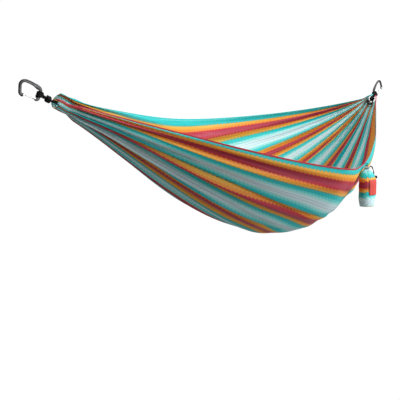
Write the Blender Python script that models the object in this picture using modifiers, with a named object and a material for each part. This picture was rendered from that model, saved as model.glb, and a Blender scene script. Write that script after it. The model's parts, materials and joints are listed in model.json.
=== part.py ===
# Camping hammock hung between two carabiners, with its stuff sack on the near hem.
# Metres, +Z up. The origin is where an anchor strap bears inside the left carabiner.
# +X runs level towards the right-hand end, and the near side of the bed faces -Y.

import math

import bmesh
import bpy
from mathutils import Matrix, Vector

# ---- driving dimensions -------------------------------------------------------------

GATHER_SPAN = 2.500            # level distance between the two gathered ends
LEFT_HANG = math.radians(24)   # slope of the left suspension above the level
RIGHT_HANG = math.radians(48)  # slope of the right suspension above the level

CLOTH_THICKNESS = 0.002        # stand-in thickness of the bed's single layer
CLOTH_STEPS = (36, 22)         # faces along the bed and across it
GATHER_RADIUS = 0.030          # radius of the bunched cloth at each end
GATHER_FADE = 8.0              # how fast the bunch opens out, as a power
GATHER_ARC = (-150.0, 60.0)    # degrees round the bunch, from the far hem to the near hem
FAR_OUT = 0.673                # how far the far hem stands out sideways
FAR_DROP = 0.112
NEAR_OUT = 0.580
NEAR_DROP = 0.341
BED_DROP = 0.746               # depth of the lowest thread below the gathers
BULGE_POWER = 0.92

TOUCH_GAP = 0.0003             # between pieces that touch on the real object

ROPE_RADIUS = 0.004
ROPE_GAP = 0.0003              # between turns and legs that touch on the real rope
ROPE_ARC_RADIUS = 0.0205       # the rope's bend inside the bunched cloth
ROPE_ARC_INSET = 0.012
LEFT_REACH = 0.104             # gather to the centre of the carabiner's small end
RIGHT_REACH = 0.068
HITCH_TURNS = 2.5
HITCH_CLEARANCE = 0.0005       # lets the carabiner turn inside its hitch
HITCH_BEHIND = 0.019           # small end's centre to the whipping
KNOT_TURNS = 3
KNOT_ROPE_RADIUS = ROPE_RADIUS * 0.9   # pulled tight
KNOT_SPACING = 0.0025          # knot to whipping
WHIPPING_LENGTH = 0.010
WHIPPING_WALL = 0.003

BAR_WIDTH = 0.0135             # carabiner bar, in the plane of the loop
BAR_DEPTH = 0.010              # carabiner bar, across that plane
BAR_CHAMFER = 0.0027
BASKET_HALF = 0.0250           # small end, centre line to each side
SPINE_HEIGHT = 0.0270          # spine at the big end
NOSE_DEPTH = 0.0345            # gate side at the big end
FRAME_LENGTH = 0.111           # small end to the spine's far corner
NOSE_REACH = 0.0890
NOSE_TIP = 0.072
TAIL_TIP = 0.015
GATE_HINGE = 0.0095            # along the frame, inside the tail
GATE_CATCH = 0.0765            # where the gate's cross wire sits in the nose
WIRE_RADIUS = 0.0016
WIRE_CLEARANCE = 0.0004
WIRE_BEND = 0.003

SACK_AT = 0.65                 # where the sack hangs, as a share of the near hem
SACK_PLACE = (0, -0.0165, -0.0120)   # hanger's top from the hem
SACK_HALF_WIDTH = 0.062
SACK_HALF_THICKNESS = 0.042
SACK_HEIGHT = 0.211
SACK_LEAN = 0.008              # how far the wall behind pushes the body out
SACK_HANG = 0.009              # hanger's top to the sack's top edge
SACK_NECK = 0.010              # drawcord line below the top edge
LABEL_SIZE = (0.066, 0.083)
LABEL_DROP = 0.108             # label's centre below the sack's top edge
LABEL_THICKNESS = 0.0012
BASE_THICKNESS = 0.0015

CORD_RADIUS = 0.0018
CORD_PITCH = 2 * CORD_RADIUS + 0.0006  # between the drawcord's two strands
TAB_RADIUS = 0.0016
HANGER_RADIUS = 0.0015

LOCK_BORE = 0.0066
LOCK_RADIUS = LOCK_BORE + 0.0026
LOCK_HALF_LENGTH = 0.0125
LOCK_FLOOR = 0.010             # bore's blind end, from the barrel's centre
LOCK_HOLE = (CORD_PITCH + 2 * CORD_RADIUS + 0.0006, 2 * CORD_RADIUS + 0.0007)
LOCK_HOLE_AT = -0.004
BUTTON_TRAVEL = 0.004
BUTTON_RADIUS = 0.0080
BUTTON_FROM = -0.0225
BUTTON_TO = -0.0175
PLUNGER_RADIUS = LOCK_BORE - TOUCH_GAP
PLUNGER_END = 0.001
PLUNGER_SLOT = LOCK_HOLE[1] + BUTTON_TRAVEL
SPRING_RADIUS = 0.0046
SPRING_WIRE = 0.0004
SPRING_TURNS = 4
LOCK_LINE = SACK_HALF_WIDTH + 0.012    # the strands hang just clear of the sack's side
LOCK_DROP = 0.050              # lock below the neck
CORD_END_KNOT = 0.090          # end knot below the neck
KNOT_TUBE = 0.002

COLOURS = {                    # linear RGB, roughness, metallic
    "cloth": ((0.05, 0.52, 0.52), 0.75, 0.0),
    "rope": ((0.012, 0.012, 0.014), 0.85, 0.0),
    "whipping": ((0.02, 0.02, 0.022), 0.8, 0.0),
    "frame": ((0.02, 0.021, 0.023), 0.35, 0.6),
    "wire": ((0.62, 0.62, 0.64), 0.25, 1.0),
    "sack": ((0.10, 0.66, 0.66), 0.75, 0.0),
    "sack base": ((0.62, 0.40, 0.09), 0.75, 0.0),
    "label": ((0.50, 0.035, 0.035), 0.7, 0.0),
    "cord": ((0.012, 0.012, 0.014), 0.8, 0.0),
    "plastic": ((0.015, 0.015, 0.016), 0.45, 0.0),
    "spring": ((0.55, 0.55, 0.57), 0.3, 1.0),
}


# ---- building blocks ----------------------------------------------------------------

def clear_scene():
    for item in list(bpy.data.objects):
        bpy.data.objects.remove(item, do_unlink=True)


def make_collection(name):
    collection = bpy.data.collections.new(name)
    bpy.context.scene.collection.children.link(collection)
    return collection


def make_material(name):
    colour, roughness, metallic = COLOURS[name]
    material = bpy.data.materials.new(name)
    material.use_nodes = True
    surface = material.node_tree.nodes["Principled BSDF"]
    surface.inputs["Base Color"].default_value = (*colour, 1.0)
    surface.inputs["Roughness"].default_value = roughness
    surface.inputs["Metallic"].default_value = metallic
    return material


def add_object(name, data, collection, colour=None, place=None):
    """Link data as an object, with its material and its place in the world."""
    item = bpy.data.objects.new(name, data)
    collection.objects.link(item)
    if colour:
        data.materials.append(materials[colour])
    if place is not None:
        item.matrix_world = place
    return item


def mesh_from(bm, name):
    mesh = bpy.data.meshes.new(name)
    bm.to_mesh(mesh)
    bm.free()
    mesh.shade_smooth()
    mesh.set_sharp_from_angle(angle=math.radians(40))
    return mesh


def sweep(name, points, radius, colour, place=None, cyclic=False):
    """A round cord, rope or wire along a list of points."""
    curve = bpy.data.curves.new(name, "CURVE")
    curve.dimensions = "3D"
    spline = curve.splines.new("POLY")
    spline.points.add(len(points) - 1)
    for slot, point in zip(spline.points, points):
        slot.co = (*point, 1.0)
    spline.use_cyclic_u = cyclic
    curve.bevel_depth = radius
    curve.bevel_resolution = 2
    curve.use_fill_caps = True
    return add_object(name, curve, parts, colour, place)


def smooth_route(points, spacing):
    """Evenly read points from a smooth curve through the route's own points."""
    knots = [Vector(point) for point in points]
    ends = [2 * knots[0] - knots[1]] + knots + [2 * knots[-1] - knots[-2]]
    route = [knots[0]]
    for before, start, finish, after in zip(ends, ends[1:], ends[2:], ends[3:]):
        steps = max(1, round((finish - start).length / spacing))
        for step in range(1, steps + 1):
            t = step / steps
            route.append(0.5 * (2 * start + (finish - before) * t
                                + (2 * before - 5 * start + 4 * finish - after) * t ** 2
                                + (3 * start - 3 * finish + after - before) * t ** 3))
    return route


def rounded_route(corners, radii, steps):
    """Straight runs joined by arcs: an arc of the given radius at each inner corner."""
    corners = [Vector(corner) for corner in corners]
    route = [corners[0]]
    for before, corner, after, radius in zip(corners, corners[1:], corners[2:], radii):
        back = (before - corner).normalized()
        ahead = (after - corner).normalized()
        half = back.angle(ahead) / 2
        centre = corner + (back + ahead).normalized() * radius / math.sin(half)
        start = corner + back * radius / math.tan(half)
        finish = corner + ahead * radius / math.tan(half)
        for step in range(steps + 1):
            arm = (start - centre).normalized().slerp((finish - centre).normalized(), step / steps)
            route.append(centre + arm * radius)
    route.append(corners[-1])
    return route


def to_mesh_object(item):
    """Turn a curve object into a mesh object with welded caps."""
    bpy.context.view_layer.update()
    evaluated = item.evaluated_get(bpy.context.evaluated_depsgraph_get())
    mesh = bpy.data.meshes.new_from_object(evaluated)
    bm = bmesh.new()
    bm.from_mesh(mesh)
    bmesh.ops.remove_doubles(bm, verts=bm.verts, dist=0.00001)
    bmesh.ops.recalc_face_normals(bm, faces=bm.faces)
    bm.to_mesh(mesh)
    bm.free()
    name = item.name
    place = item.matrix_world.copy()
    bpy.data.objects.remove(item, do_unlink=True)
    solid = bpy.data.objects.new(name, mesh)
    parts.objects.link(solid)
    solid.matrix_world = place
    return solid


def cut(item, cutter):
    modifier = item.modifiers.new(cutter.name, "BOOLEAN")
    modifier.operation = "DIFFERENCE"
    modifier.object = cutter


def make_cutter(name, bm, place):
    cutter = add_object(name, mesh_from(bm, name), cutters, place=place)
    cutter.hide_render = True
    cutter.display_type = "WIRE"
    return cutter


def cylinder(radius, start, finish, segments=24):
    """A bmesh cylinder along its local Y, from start to finish."""
    bm = bmesh.new()
    bmesh.ops.create_cone(bm, cap_ends=True, segments=segments,
                          radius1=radius, radius2=radius, depth=finish - start)
    turn = Matrix.Translation((0, (start + finish) / 2, 0)) @ Matrix.Rotation(math.pi / 2, 4, "X")
    bmesh.ops.transform(bm, matrix=turn, verts=bm.verts)
    return bm


def block(size, centre):
    bm = bmesh.new()
    bmesh.ops.create_cube(bm, size=1)
    bmesh.ops.scale(bm, vec=size, verts=bm.verts)
    bmesh.ops.translate(bm, vec=centre, verts=bm.verts)
    return bm


# ---- the bed ------------------------------------------------------------------------

def bulge(s, sharpness, lean):
    """0 at both gathers and 1 between them; lean moves the deepest place to the right."""
    s = s ** math.exp(lean)
    return (1 - abs(2 * s - 1) ** sharpness) ** BULGE_POWER


def bed_point(s, w):
    """A place on the bed: s along it from 0 to 1, w across it from -1 (far) to 1 (near)."""
    far = Vector((FAR_OUT * bulge(s, 1.745, 0.413), -FAR_DROP * bulge(s, 1.889, 0.413)))
    low = BED_DROP * bulge(s, 1.482, 0.205)
    near = Vector((-NEAR_OUT * bulge(s, 1.341, 0.148), -NEAR_DROP * bulge(s, 1.533, 0.261)))
    edge = far if w < 0 else near
    reach = low + (edge.length - low) * w ** 2
    swing = abs(w) * (math.atan2(-edge.x, -edge.y) if edge.length > 0 else 0.0)
    start, finish = (math.radians(angle) for angle in GATHER_ARC)
    turn = start + (finish - start) * (w + 1) / 2
    bunch = GATHER_RADIUS * abs(2 * s - 1) ** GATHER_FADE
    y = -reach * math.sin(swing) - bunch * math.sin(turn)
    z = -reach * math.cos(swing) - bunch * math.cos(turn)
    return left_gather + Vector((GATHER_SPAN * s, y, z))


def build_bed():
    bm = bmesh.new()
    bmesh.ops.create_grid(bm, x_segments=CLOTH_STEPS[0], y_segments=CLOTH_STEPS[1], size=1.0)
    for vertex in bm.verts:
        t = (vertex.co.x + 1) / 2
        s = 0.5 * t + 0.25 * (1 - math.cos(math.pi * t))   # finer towards the gathers
        vertex.co = bed_point(min(max(s, 0.0), 1.0), vertex.co.y)
    bed = add_object("bed_cloth", mesh_from(bm, "bed_cloth"), parts, "cloth")
    shell = bed.modifiers.new("thickness", "SOLIDIFY")
    shell.thickness = CLOTH_THICKNESS
    shell.offset = 0.0
    return bed


# ---- suspension at one end ----------------------------------------------------------
# Local axes: X from the gather out to the anchor, Y towards the carabiner's spine,
# Z across the loop.

def suspension_place(gather, hang, side):
    out = Vector((side * math.cos(hang), 0, math.sin(hang)))
    up = Vector((-side * math.sin(hang), 0, math.cos(hang)))
    across = out.cross(up)
    place = Matrix((out, up, across)).transposed().to_4x4()
    place.translation = gather
    return place


def build_rope(name, place, side, reach):
    """One rope: a bend inside the bunch, two legs, and the hitch round the small end."""
    bar_corner = math.hypot(BAR_WIDTH / 2, BAR_DEPTH / 2 - BAR_CHAMFER)
    hitch_radius = bar_corner + HITCH_CLEARANCE + ROPE_RADIUS
    pitch = 2 * ROPE_RADIUS + 2 * ROPE_GAP
    half_hitch = pitch * HITCH_TURNS / 2
    leg = ROPE_RADIUS + ROPE_GAP

    hitch = []
    count = round(HITCH_TURNS * 10)
    for step in range(count + 1):
        angle = math.pi / 2 - 2 * math.pi * HITCH_TURNS * step / count
        hitch.append(Vector((reach + hitch_radius * math.cos(angle),
                             half_hitch * (2 * step / count - 1),
                             hitch_radius * math.sin(angle))))

    whipping_top = reach - HITCH_BEHIND
    knot_start, knot_end = knot_stretch(reach)
    straight_from = knot_start - KNOT_ROPE_RADIUS - 0.001

    def leg_points(sign):
        return [(reach - hitch_radius * 0.62, -sign * half_hitch * 0.85, sign * hitch_radius * 0.96),
                (reach - hitch_radius * 1.15, -sign * half_hitch * 0.25, sign * leg * 1.35),
                (whipping_top + 0.002, 0, sign * leg),
                (whipping_top - WHIPPING_LENGTH / 2, 0, sign * leg),
                (knot_end, 0, sign * leg),
                (straight_from, 0, sign * leg),
                (straight_from - 0.0025, 0, sign * leg * 1.3),
                (straight_from - 0.0070, 0.002, sign * ROPE_ARC_RADIUS * 0.6),
                (-0.006, 0.006, sign * ROPE_ARC_RADIUS * 0.95)]

    world_arc = []
    for step in range(9):
        angle = math.pi * step / 8
        world_arc.append(Vector((-side * ROPE_ARC_INSET,
                                 side * ROPE_ARC_RADIUS * math.cos(angle),
                                 -ROPE_ARC_RADIUS * math.sin(angle))))
    turn = place.to_3x3().inverted()
    arc = [turn @ point for point in world_arc]

    first_leg = smooth_route([hitch[0]] + leg_points(1) + [arc[-1]], 0.008)
    last_leg = smooth_route([arc[0]] + leg_points(-1)[::-1] + [hitch[-1]], 0.008)
    route = hitch[::-1][:-1] + first_leg + arc[::-1][1:-1] + last_leg[:-1]
    return sweep(name + "_rope_loop", route, ROPE_RADIUS, "rope", place, cyclic=True)


def knot_stretch(reach):
    """Where the knot's first and last turns lie along the legs."""
    turns_length = (2 * KNOT_ROPE_RADIUS + ROPE_GAP) * KNOT_TURNS
    finish = reach - HITCH_BEHIND - WHIPPING_LENGTH - KNOT_SPACING - KNOT_ROPE_RADIUS
    return finish - turns_length, finish


def build_knot(name, place, reach):
    """Turns of the rope's end wound round both legs, between the bunch and the whipping."""
    radius = 2 * (ROPE_RADIUS + ROPE_GAP) + KNOT_ROPE_RADIUS
    start, finish = knot_stretch(reach)
    count = KNOT_TURNS * 10
    route = []
    for step in range(count + 1):
        angle = 2 * math.pi * KNOT_TURNS * step / count
        route.append((start + (finish - start) * step / count,
                      radius * math.cos(angle), radius * math.sin(angle)))
    return sweep(name + "_rope_knot", route, KNOT_ROPE_RADIUS, "rope", place)


def stadium(half_length, radius, steps=8):
    """Outline of a slot with round ends, long along its first axis."""
    outline = []
    for centre, start in ((half_length, -math.pi / 2), (-half_length, math.pi / 2)):
        for step in range(steps + 1):
            angle = start + math.pi * step / steps
            outline.append((centre + radius * math.cos(angle), radius * math.sin(angle)))
    return outline


def build_whipping(name, place, reach):
    """A tight serving of thin cord round both legs, behind the hitch."""
    leg = ROPE_RADIUS + ROPE_GAP
    curve = bpy.data.curves.new(name + "_rope_whipping", "CURVE")
    curve.dimensions = "2D"
    curve.fill_mode = "BOTH"
    curve.extrude = WHIPPING_LENGTH / 2
    for radius in (ROPE_RADIUS + TOUCH_GAP + WHIPPING_WALL, ROPE_RADIUS + TOUCH_GAP):
        outline = stadium(leg, radius)
        spline = curve.splines.new("POLY")
        spline.points.add(len(outline) - 1)
        for slot, (x, y) in zip(spline.points, outline):
            slot.co = (x, y, 0, 1)
        spline.use_cyclic_u = True
    spot = Matrix.Translation((reach - HITCH_BEHIND - WHIPPING_LENGTH / 2, 0, 0))
    turn = Matrix.Rotation(-math.pi / 2, 4, "Y")
    whipping = add_object(curve.name, curve, parts, "whipping", place @ spot @ turn)
    return to_mesh_object(whipping)


def frame_route():
    corners = [(TAIL_TIP, -BASKET_HALF, 0), (0, -BASKET_HALF, 0), (0, BASKET_HALF, 0),
               (FRAME_LENGTH, SPINE_HEIGHT, 0), (NOSE_REACH, -NOSE_DEPTH, 0),
               (NOSE_TIP, -NOSE_DEPTH, 0)]
    return rounded_route(corners, (0.0100, 0.0100, 0.016, 0.013), 6)


def build_carabiner_frame(name, place, reach):
    """A forged bar bent into an open loop, with a notched nose and a drilled tail."""
    half_width = BAR_WIDTH / 2
    half_depth = BAR_DEPTH / 2
    outline = [(half_width, -half_depth + BAR_CHAMFER), (half_width, half_depth - BAR_CHAMFER),
               (half_width - BAR_CHAMFER, half_depth), (-half_width + BAR_CHAMFER, half_depth),
               (-half_width, half_depth - BAR_CHAMFER), (-half_width, -half_depth + BAR_CHAMFER),
               (-half_width + BAR_CHAMFER, -half_depth), (half_width - BAR_CHAMFER, -half_depth)]
    section = bpy.data.curves.new(name + "_bar_section", "CURVE")
    section.dimensions = "2D"
    ring = section.splines.new("POLY")
    ring.points.add(len(outline) - 1)
    for slot, (x, y) in zip(ring.points, outline):
        slot.co = (x, y, 0, 1)
    ring.use_cyclic_u = True
    guide = add_object(section.name, section, cutters)
    guide.hide_render = True
    guide.display_type = "WIRE"

    curve = bpy.data.curves.new(name + "_carabiner_frame", "CURVE")
    curve.dimensions = "2D"
    curve.bevel_mode = "OBJECT"
    curve.bevel_object = guide
    curve.use_fill_caps = True
    route = frame_route()
    spline = curve.splines.new("POLY")
    spline.points.add(len(route) - 1)
    for slot, point in zip(spline.points, route):
        slot.co = (*point, 1.0)
    local = place @ Matrix.Translation((reach, 0, 0))
    frame = to_mesh_object(add_object(curve.name, curve, parts, "frame", local))

    upright = Matrix.Rotation(math.pi / 2, 4, "X")
    for label, spot, radius in (
            ("hinge_hole", (GATE_HINGE, -BASKET_HALF, 0), WIRE_RADIUS + WIRE_CLEARANCE),
            ("nose_notch", (GATE_CATCH, BAR_WIDTH / 2 - NOSE_DEPTH, 0), WIRE_RADIUS + 0.0006)):
        tool = cylinder(radius, -BAR_DEPTH, BAR_DEPTH, 16)
        cut(frame, make_cutter(name + "_" + label, tool, local @ Matrix.Translation(spot) @ upright))
    return frame


def build_gate(name, place, reach):
    """A sprung loop of wire: both ends turn in the tail, and the far end sits in the nose."""
    length = GATE_CATCH - GATE_HINGE
    catch = BASKET_HALF - NOSE_DEPTH + BAR_WIDTH / 2
    side = BAR_DEPTH / 2 + WIRE_RADIUS + WIRE_CLEARANCE
    corners = [(0, 0, 0.0012), (0, 0, side), (length, catch, side),
               (length, catch, -side), (0, 0, -side), (0, 0, -0.0012)]
    route = rounded_route(corners, (WIRE_BEND,) * 4, 4)
    hinge = Matrix.Translation((reach + GATE_HINGE, -BASKET_HALF, 0))
    return sweep(name + "_gate_wire", route, WIRE_RADIUS, "wire", place @ hinge)


def build_suspension(name, gather, hang, side, reach):
    place = suspension_place(gather, hang, side)
    build_rope(name, place, side, reach)
    build_knot(name, place, reach)
    build_whipping(name, place, reach)
    build_carabiner_frame(name, place, reach)
    build_gate(name, place, reach)


# ---- stuff sack ---------------------------------------------------------------------

def sack_swell(t):
    """Girth at t, from 0 at the bottom to 1 at the top edge, as a share of the widest."""
    neck = 1 - SACK_NECK / SACK_HEIGHT
    if t <= neck:
        low = min(1.0, t / 0.30)
        high = min(1.0, (neck - t) / 0.34)
        foot = 0.78 + 0.22 * math.sin(low * math.pi / 2)
        shoulder = 0.16 + 0.84 * math.sin(high * math.pi / 2) ** 0.85
        return foot * shoulder
    return 0.16 + 0.10 * math.sin((t - neck) / (1 - neck) * math.pi / 2)


def sack_point(angle, t, offset=0.0):
    """A place on the sack's skin; offset moves it straight out from the middle."""
    swell = sack_swell(t)
    round_up = 0.45 + 0.55 * min(1.0, swell)       # the neck is rounder than the body
    half_y = SACK_HALF_THICKNESS * swell / round_up * 0.95
    lean = SACK_LEAN * min(1.0, (1 - t) / 0.4)
    return Vector(((SACK_HALF_WIDTH * swell + offset) * math.cos(angle),
                   (half_y + offset) * math.sin(angle) - lean,
                   -SACK_HANG - SACK_HEIGHT * (1 - t)))


def build_sack_body(place):
    bm = bmesh.new()
    rows = 18
    bmesh.ops.create_cone(bm, cap_ends=True, segments=24, radius1=1.0, radius2=1.0, depth=1.0)
    bmesh.ops.subdivide_edges(bm, edges=[edge for edge in bm.edges
                                         if abs(edge.verts[0].co.z - edge.verts[1].co.z) > 0.5],
                              cuts=rows - 1, use_grid_fill=True)
    for vertex in bm.verts:
        angle = math.atan2(vertex.co.y, vertex.co.x)
        vertex.co = sack_point(angle, vertex.co.z + 0.5)
    return add_object("sack_body", mesh_from(bm, "sack_body"), parts, "sack", place)


def build_sack_base(place):
    """The sewn oval panel that closes the bottom."""
    bm = bmesh.new()
    bmesh.ops.create_cone(bm, cap_ends=True, segments=24, radius1=1.0, radius2=1.0, depth=1.0)
    edge = sack_point(0, 0)
    depth = sack_point(math.pi / 2, 0)
    for vertex in bm.verts:
        vertex.co.x *= edge.x * 0.97
        vertex.co.y = edge.y + vertex.co.y * (depth.y - edge.y) * 0.97
        vertex.co.z = edge.z - TOUCH_GAP - BASE_THICKNESS * (0.5 - vertex.co.z)
    return add_object("sack_base", mesh_from(bm, "sack_base"), parts, "sack base", place)


def build_label(place):
    """A blank patch sewn on the face that looks away from the bed."""
    bm = bmesh.new()
    bmesh.ops.create_grid(bm, x_segments=8, y_segments=8, size=0.5)
    for vertex in bm.verts:
        drop = LABEL_DROP - vertex.co.y * LABEL_SIZE[1]
        t = 1 - drop / SACK_HEIGHT
        width = SACK_HALF_WIDTH * sack_swell(t)
        angle = -math.acos(vertex.co.x * LABEL_SIZE[0] / width)
        vertex.co = sack_point(angle, t, TOUCH_GAP + LABEL_THICKNESS * 0.9)
    label = add_object("sack_label", mesh_from(bm, "sack_label"), parts, "label", place)
    patch = label.modifiers.new("thickness", "SOLIDIFY")
    patch.thickness = LABEL_THICKNESS
    patch.offset = 0.0
    return label


def build_hanger(place):
    """The short loop sewn into the sack's top edge."""
    foot = -SACK_HANG + TOUCH_GAP
    route = smooth_route([(-0.008, 0, foot), (-0.0078, 0, foot * 0.45), (-0.0045, 0, -0.0012),
                          (0, 0, 0), (0.0045, 0, -0.0012), (0.0078, 0, foot * 0.45),
                          (0.008, 0, foot)], 0.0025)
    return sweep("sack_hanger", route, HANGER_RADIUS, "cord", place)


def build_hem_tab(hem):
    """A cord loop sewn to the outer face of the near hem; the sack's hanger runs through it."""
    route = [(0, -0.0032, -0.0005), (0, -0.0110, -0.0010), (0, -0.0195, -0.0032),
             (0, -0.0238, -0.0095), (0, -0.0205, -0.0160), (0, -0.0150, -0.0168),
             (0, -0.0100, -0.0135), (0, -0.0060, -0.0105), (0, -0.0020, -0.0085)]
    place = Matrix.Translation(hem)
    return sweep("hem_tab", smooth_route(route, 0.003), TAB_RADIUS, "cord", place)


def strand_route(sign):
    """One strand of the drawcord: out of the neck, over the shoulder, through the lock."""
    lane = sign * CORD_PITCH / 2
    neck = -SACK_HANG - SACK_NECK
    line = LOCK_LINE + lane
    return [(0.0152, lane, neck), (0.0220, lane, neck + 0.0010), (0.0315, lane, neck + 0.008),
            (0.0440, lane, neck + 0.011), (0.0560, lane, neck + 0.003),
            (line - 0.008, lane * 0.7, neck - 0.011),
            (line - 0.002, 0, neck - 0.025), (line, 0, neck - 0.034), (line, 0, neck - 0.042),
            (line, 0, neck - 0.070), (line, 0, neck - 0.095), (line + lane * 1.5, 0, neck - 0.107),
            (line + lane * 2.8, 0, neck - 0.118)]


def build_drawcord(place):
    for label, sign in (("back", 1), ("front", -1)):
        sweep("drawcord_" + label, smooth_route(strand_route(sign), 0.006), CORD_RADIUS, "cord", place)
    bm = bmesh.new()
    major = CORD_PITCH / 2 + CORD_RADIUS + TOUCH_GAP + KNOT_TUBE
    rings = 16
    sides = 8
    bmesh.ops.create_circle(bm, radius=KNOT_TUBE, segments=sides)
    for vertex in bm.verts:
        vertex.co = Vector((major + vertex.co.x, 0, vertex.co.y * 1.7))
    bmesh.ops.spin(bm, geom=bm.verts[:] + bm.edges[:], axis=(0, 0, 1), cent=(0, 0, 0),
                   steps=rings, angle=2 * math.pi, use_merge=True)
    bmesh.ops.remove_doubles(bm, verts=bm.verts, dist=0.00001)
    bmesh.ops.recalc_face_normals(bm, faces=bm.faces)
    spot = Matrix.Translation((LOCK_LINE, 0, -SACK_HANG - SACK_NECK - CORD_END_KNOT))
    add_object("drawcord_knot", mesh_from(bm, "drawcord_knot"), parts, "cord", place @ spot)


# ---- cord lock ----------------------------------------------------------------------
# Local Y is the barrel's axis; the button is at its -Y end, and the cords pass along Z.

def build_cord_lock(place):
    barrel = add_object("cord_lock_barrel",
                        mesh_from(cylinder(LOCK_RADIUS, -LOCK_HALF_LENGTH, LOCK_HALF_LENGTH), "barrel"),
                        parts, "plastic", place)
    bore = cylinder(LOCK_BORE, -LOCK_HALF_LENGTH - 0.001, LOCK_FLOOR)
    cut(barrel, make_cutter("lock_bore", bore, place))
    hole = block((LOCK_HOLE[0], LOCK_HOLE[1], LOCK_RADIUS * 3), (0, LOCK_HOLE_AT, 0))
    cut(barrel, make_cutter("lock_hole", hole, place))

    shaft = cylinder(PLUNGER_RADIUS, BUTTON_TO - 0.001, PLUNGER_END)
    plunger = add_object("cord_lock_button", mesh_from(shaft, "plunger"), parts, "plastic", place)
    head = add_object("button_head", mesh_from(cylinder(BUTTON_RADIUS, BUTTON_FROM, BUTTON_TO), "head"),
                      cutters, place=place)
    head.hide_render = True
    head.display_type = "WIRE"
    joined = plunger.modifiers.new("head", "BOOLEAN")
    joined.operation = "UNION"
    joined.object = head
    slot_to = LOCK_HOLE_AT + LOCK_HOLE[1] / 2
    slot = block((LOCK_HOLE[0], PLUNGER_SLOT, LOCK_RADIUS * 3), (0, slot_to - PLUNGER_SLOT / 2, 0))
    cut(plunger, make_cutter("plunger_slot", slot, place))

    start = PLUNGER_END + TOUCH_GAP + SPRING_WIRE
    finish = LOCK_FLOOR - TOUCH_GAP - SPRING_WIRE
    count = SPRING_TURNS * 10
    route = []
    for step in range(count + 1):
        angle = 2 * math.pi * SPRING_TURNS * step / count
        route.append((SPRING_RADIUS * math.cos(angle), start + (finish - start) * step / count,
                      SPRING_RADIUS * math.sin(angle)))
    sweep("cord_lock_spring", route, SPRING_WIRE, "spring", place)


# ---- assembly -----------------------------------------------------------------------

clear_scene()
parts = make_collection("camping hammock")
cutters = make_collection("cutters")
materials = {name: make_material(name) for name in COLOURS}

wide_end = math.hypot(FRAME_LENGTH - NOSE_REACH, SPINE_HEIGHT + NOSE_DEPTH)
slant = (FRAME_LENGTH - NOSE_REACH) / (SPINE_HEIGHT + NOSE_DEPTH)
bearing = (LEFT_REACH + FRAME_LENGTH - slant * SPINE_HEIGHT
           - BAR_WIDTH / 2 * wide_end / (SPINE_HEIGHT + NOSE_DEPTH))

left_gather = Vector((math.cos(LEFT_HANG), 0, -math.sin(LEFT_HANG))) * bearing
right_gather = left_gather + Vector((GATHER_SPAN, 0, 0))

build_bed()
build_suspension("left", left_gather, LEFT_HANG, -1, LEFT_REACH)
build_suspension("right", right_gather, RIGHT_HANG, 1, RIGHT_REACH)

hem_point = bed_point(SACK_AT, 1.0)
build_hem_tab(hem_point)
sack_place = Matrix.Translation(hem_point + Vector(SACK_PLACE))
build_sack_body(sack_place)
build_sack_base(sack_place)
build_label(sack_place)
build_hanger(sack_place)
build_drawcord(sack_place)
lock_spot = Vector((LOCK_LINE, -LOCK_HOLE_AT, -SACK_HANG - SACK_NECK - LOCK_DROP))
build_cord_lock(sack_place @ Matrix.Translation(lock_spot))
bpy.context.view_layer.update()
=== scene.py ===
import json
import math

import bmesh
import bpy
import numpy as np
from mathutils import Matrix, Vector


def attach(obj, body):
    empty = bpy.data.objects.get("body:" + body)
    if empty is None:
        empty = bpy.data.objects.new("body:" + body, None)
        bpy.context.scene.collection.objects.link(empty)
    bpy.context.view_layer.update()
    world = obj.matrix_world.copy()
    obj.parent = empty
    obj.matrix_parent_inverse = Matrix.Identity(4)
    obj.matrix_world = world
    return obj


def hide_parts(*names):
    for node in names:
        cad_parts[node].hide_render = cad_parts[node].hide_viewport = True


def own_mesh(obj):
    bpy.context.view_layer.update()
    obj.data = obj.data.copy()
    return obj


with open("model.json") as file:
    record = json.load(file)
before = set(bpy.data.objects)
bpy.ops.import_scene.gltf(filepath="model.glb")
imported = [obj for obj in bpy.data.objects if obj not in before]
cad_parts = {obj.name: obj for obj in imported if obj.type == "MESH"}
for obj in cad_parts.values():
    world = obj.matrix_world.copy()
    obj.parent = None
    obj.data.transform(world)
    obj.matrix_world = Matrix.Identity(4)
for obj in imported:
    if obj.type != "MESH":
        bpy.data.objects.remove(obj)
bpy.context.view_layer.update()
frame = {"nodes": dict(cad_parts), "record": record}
print("frame loaded with", len(frame["nodes"]), "nodes")

# places that the frame gives
joints = {joint["name"]: joint for joint in frame["record"]["behaviour"]["joints"]}
# from each gather to the small end of its carabiner
hitchReach = {"left": 0.104, "right": 0.068}


def suspensionPlace(side):
    # X runs from the gather out to the anchor, Y towards the spine, Z across the loop
    joint = joints[side + "_carabiner_turn"]
    sign = -1 if side == "left" else 1
    up = Vector(joint["axis"]).normalized()
    out = Vector((sign * up.z, 0, -sign * up.x))
    place = Matrix((out, up, out.cross(up))).transposed().to_4x4()
    place.translation = Vector(joint["pos_m"]) - out * hitchReach[side]
    return place


places = {side: suspensionPlace(side) for side in ("left", "right")}
leftGather = places["left"].translation.copy()
gatherSpan = places["right"].translation.x - leftGather.x
sackPlace = Vector(joints["sack_swing"]["pos_m"])

# camera, lights and floor
view = {"place": (-1.866, -2.698, 0.043), "turn": 45.4, "tilt": -8.1, "lens": 66.6}
studio = {"floorDrop": 2.2, "floorSize": 60.0, "floorTone": 0.40, "white": 1.02, "ambient": 0.22,
          "key": {"place": (4.5, -3.5, 2.5), "size": 1.6, "watts": 270.0},
          "fill": {"place": (3.0, -5.0, 0.4), "size": 2.6, "watts": 125.0},
          "top": {"place": (1.7, -0.5, 3.2), "size": 1.8, "watts": 64.0}}


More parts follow.
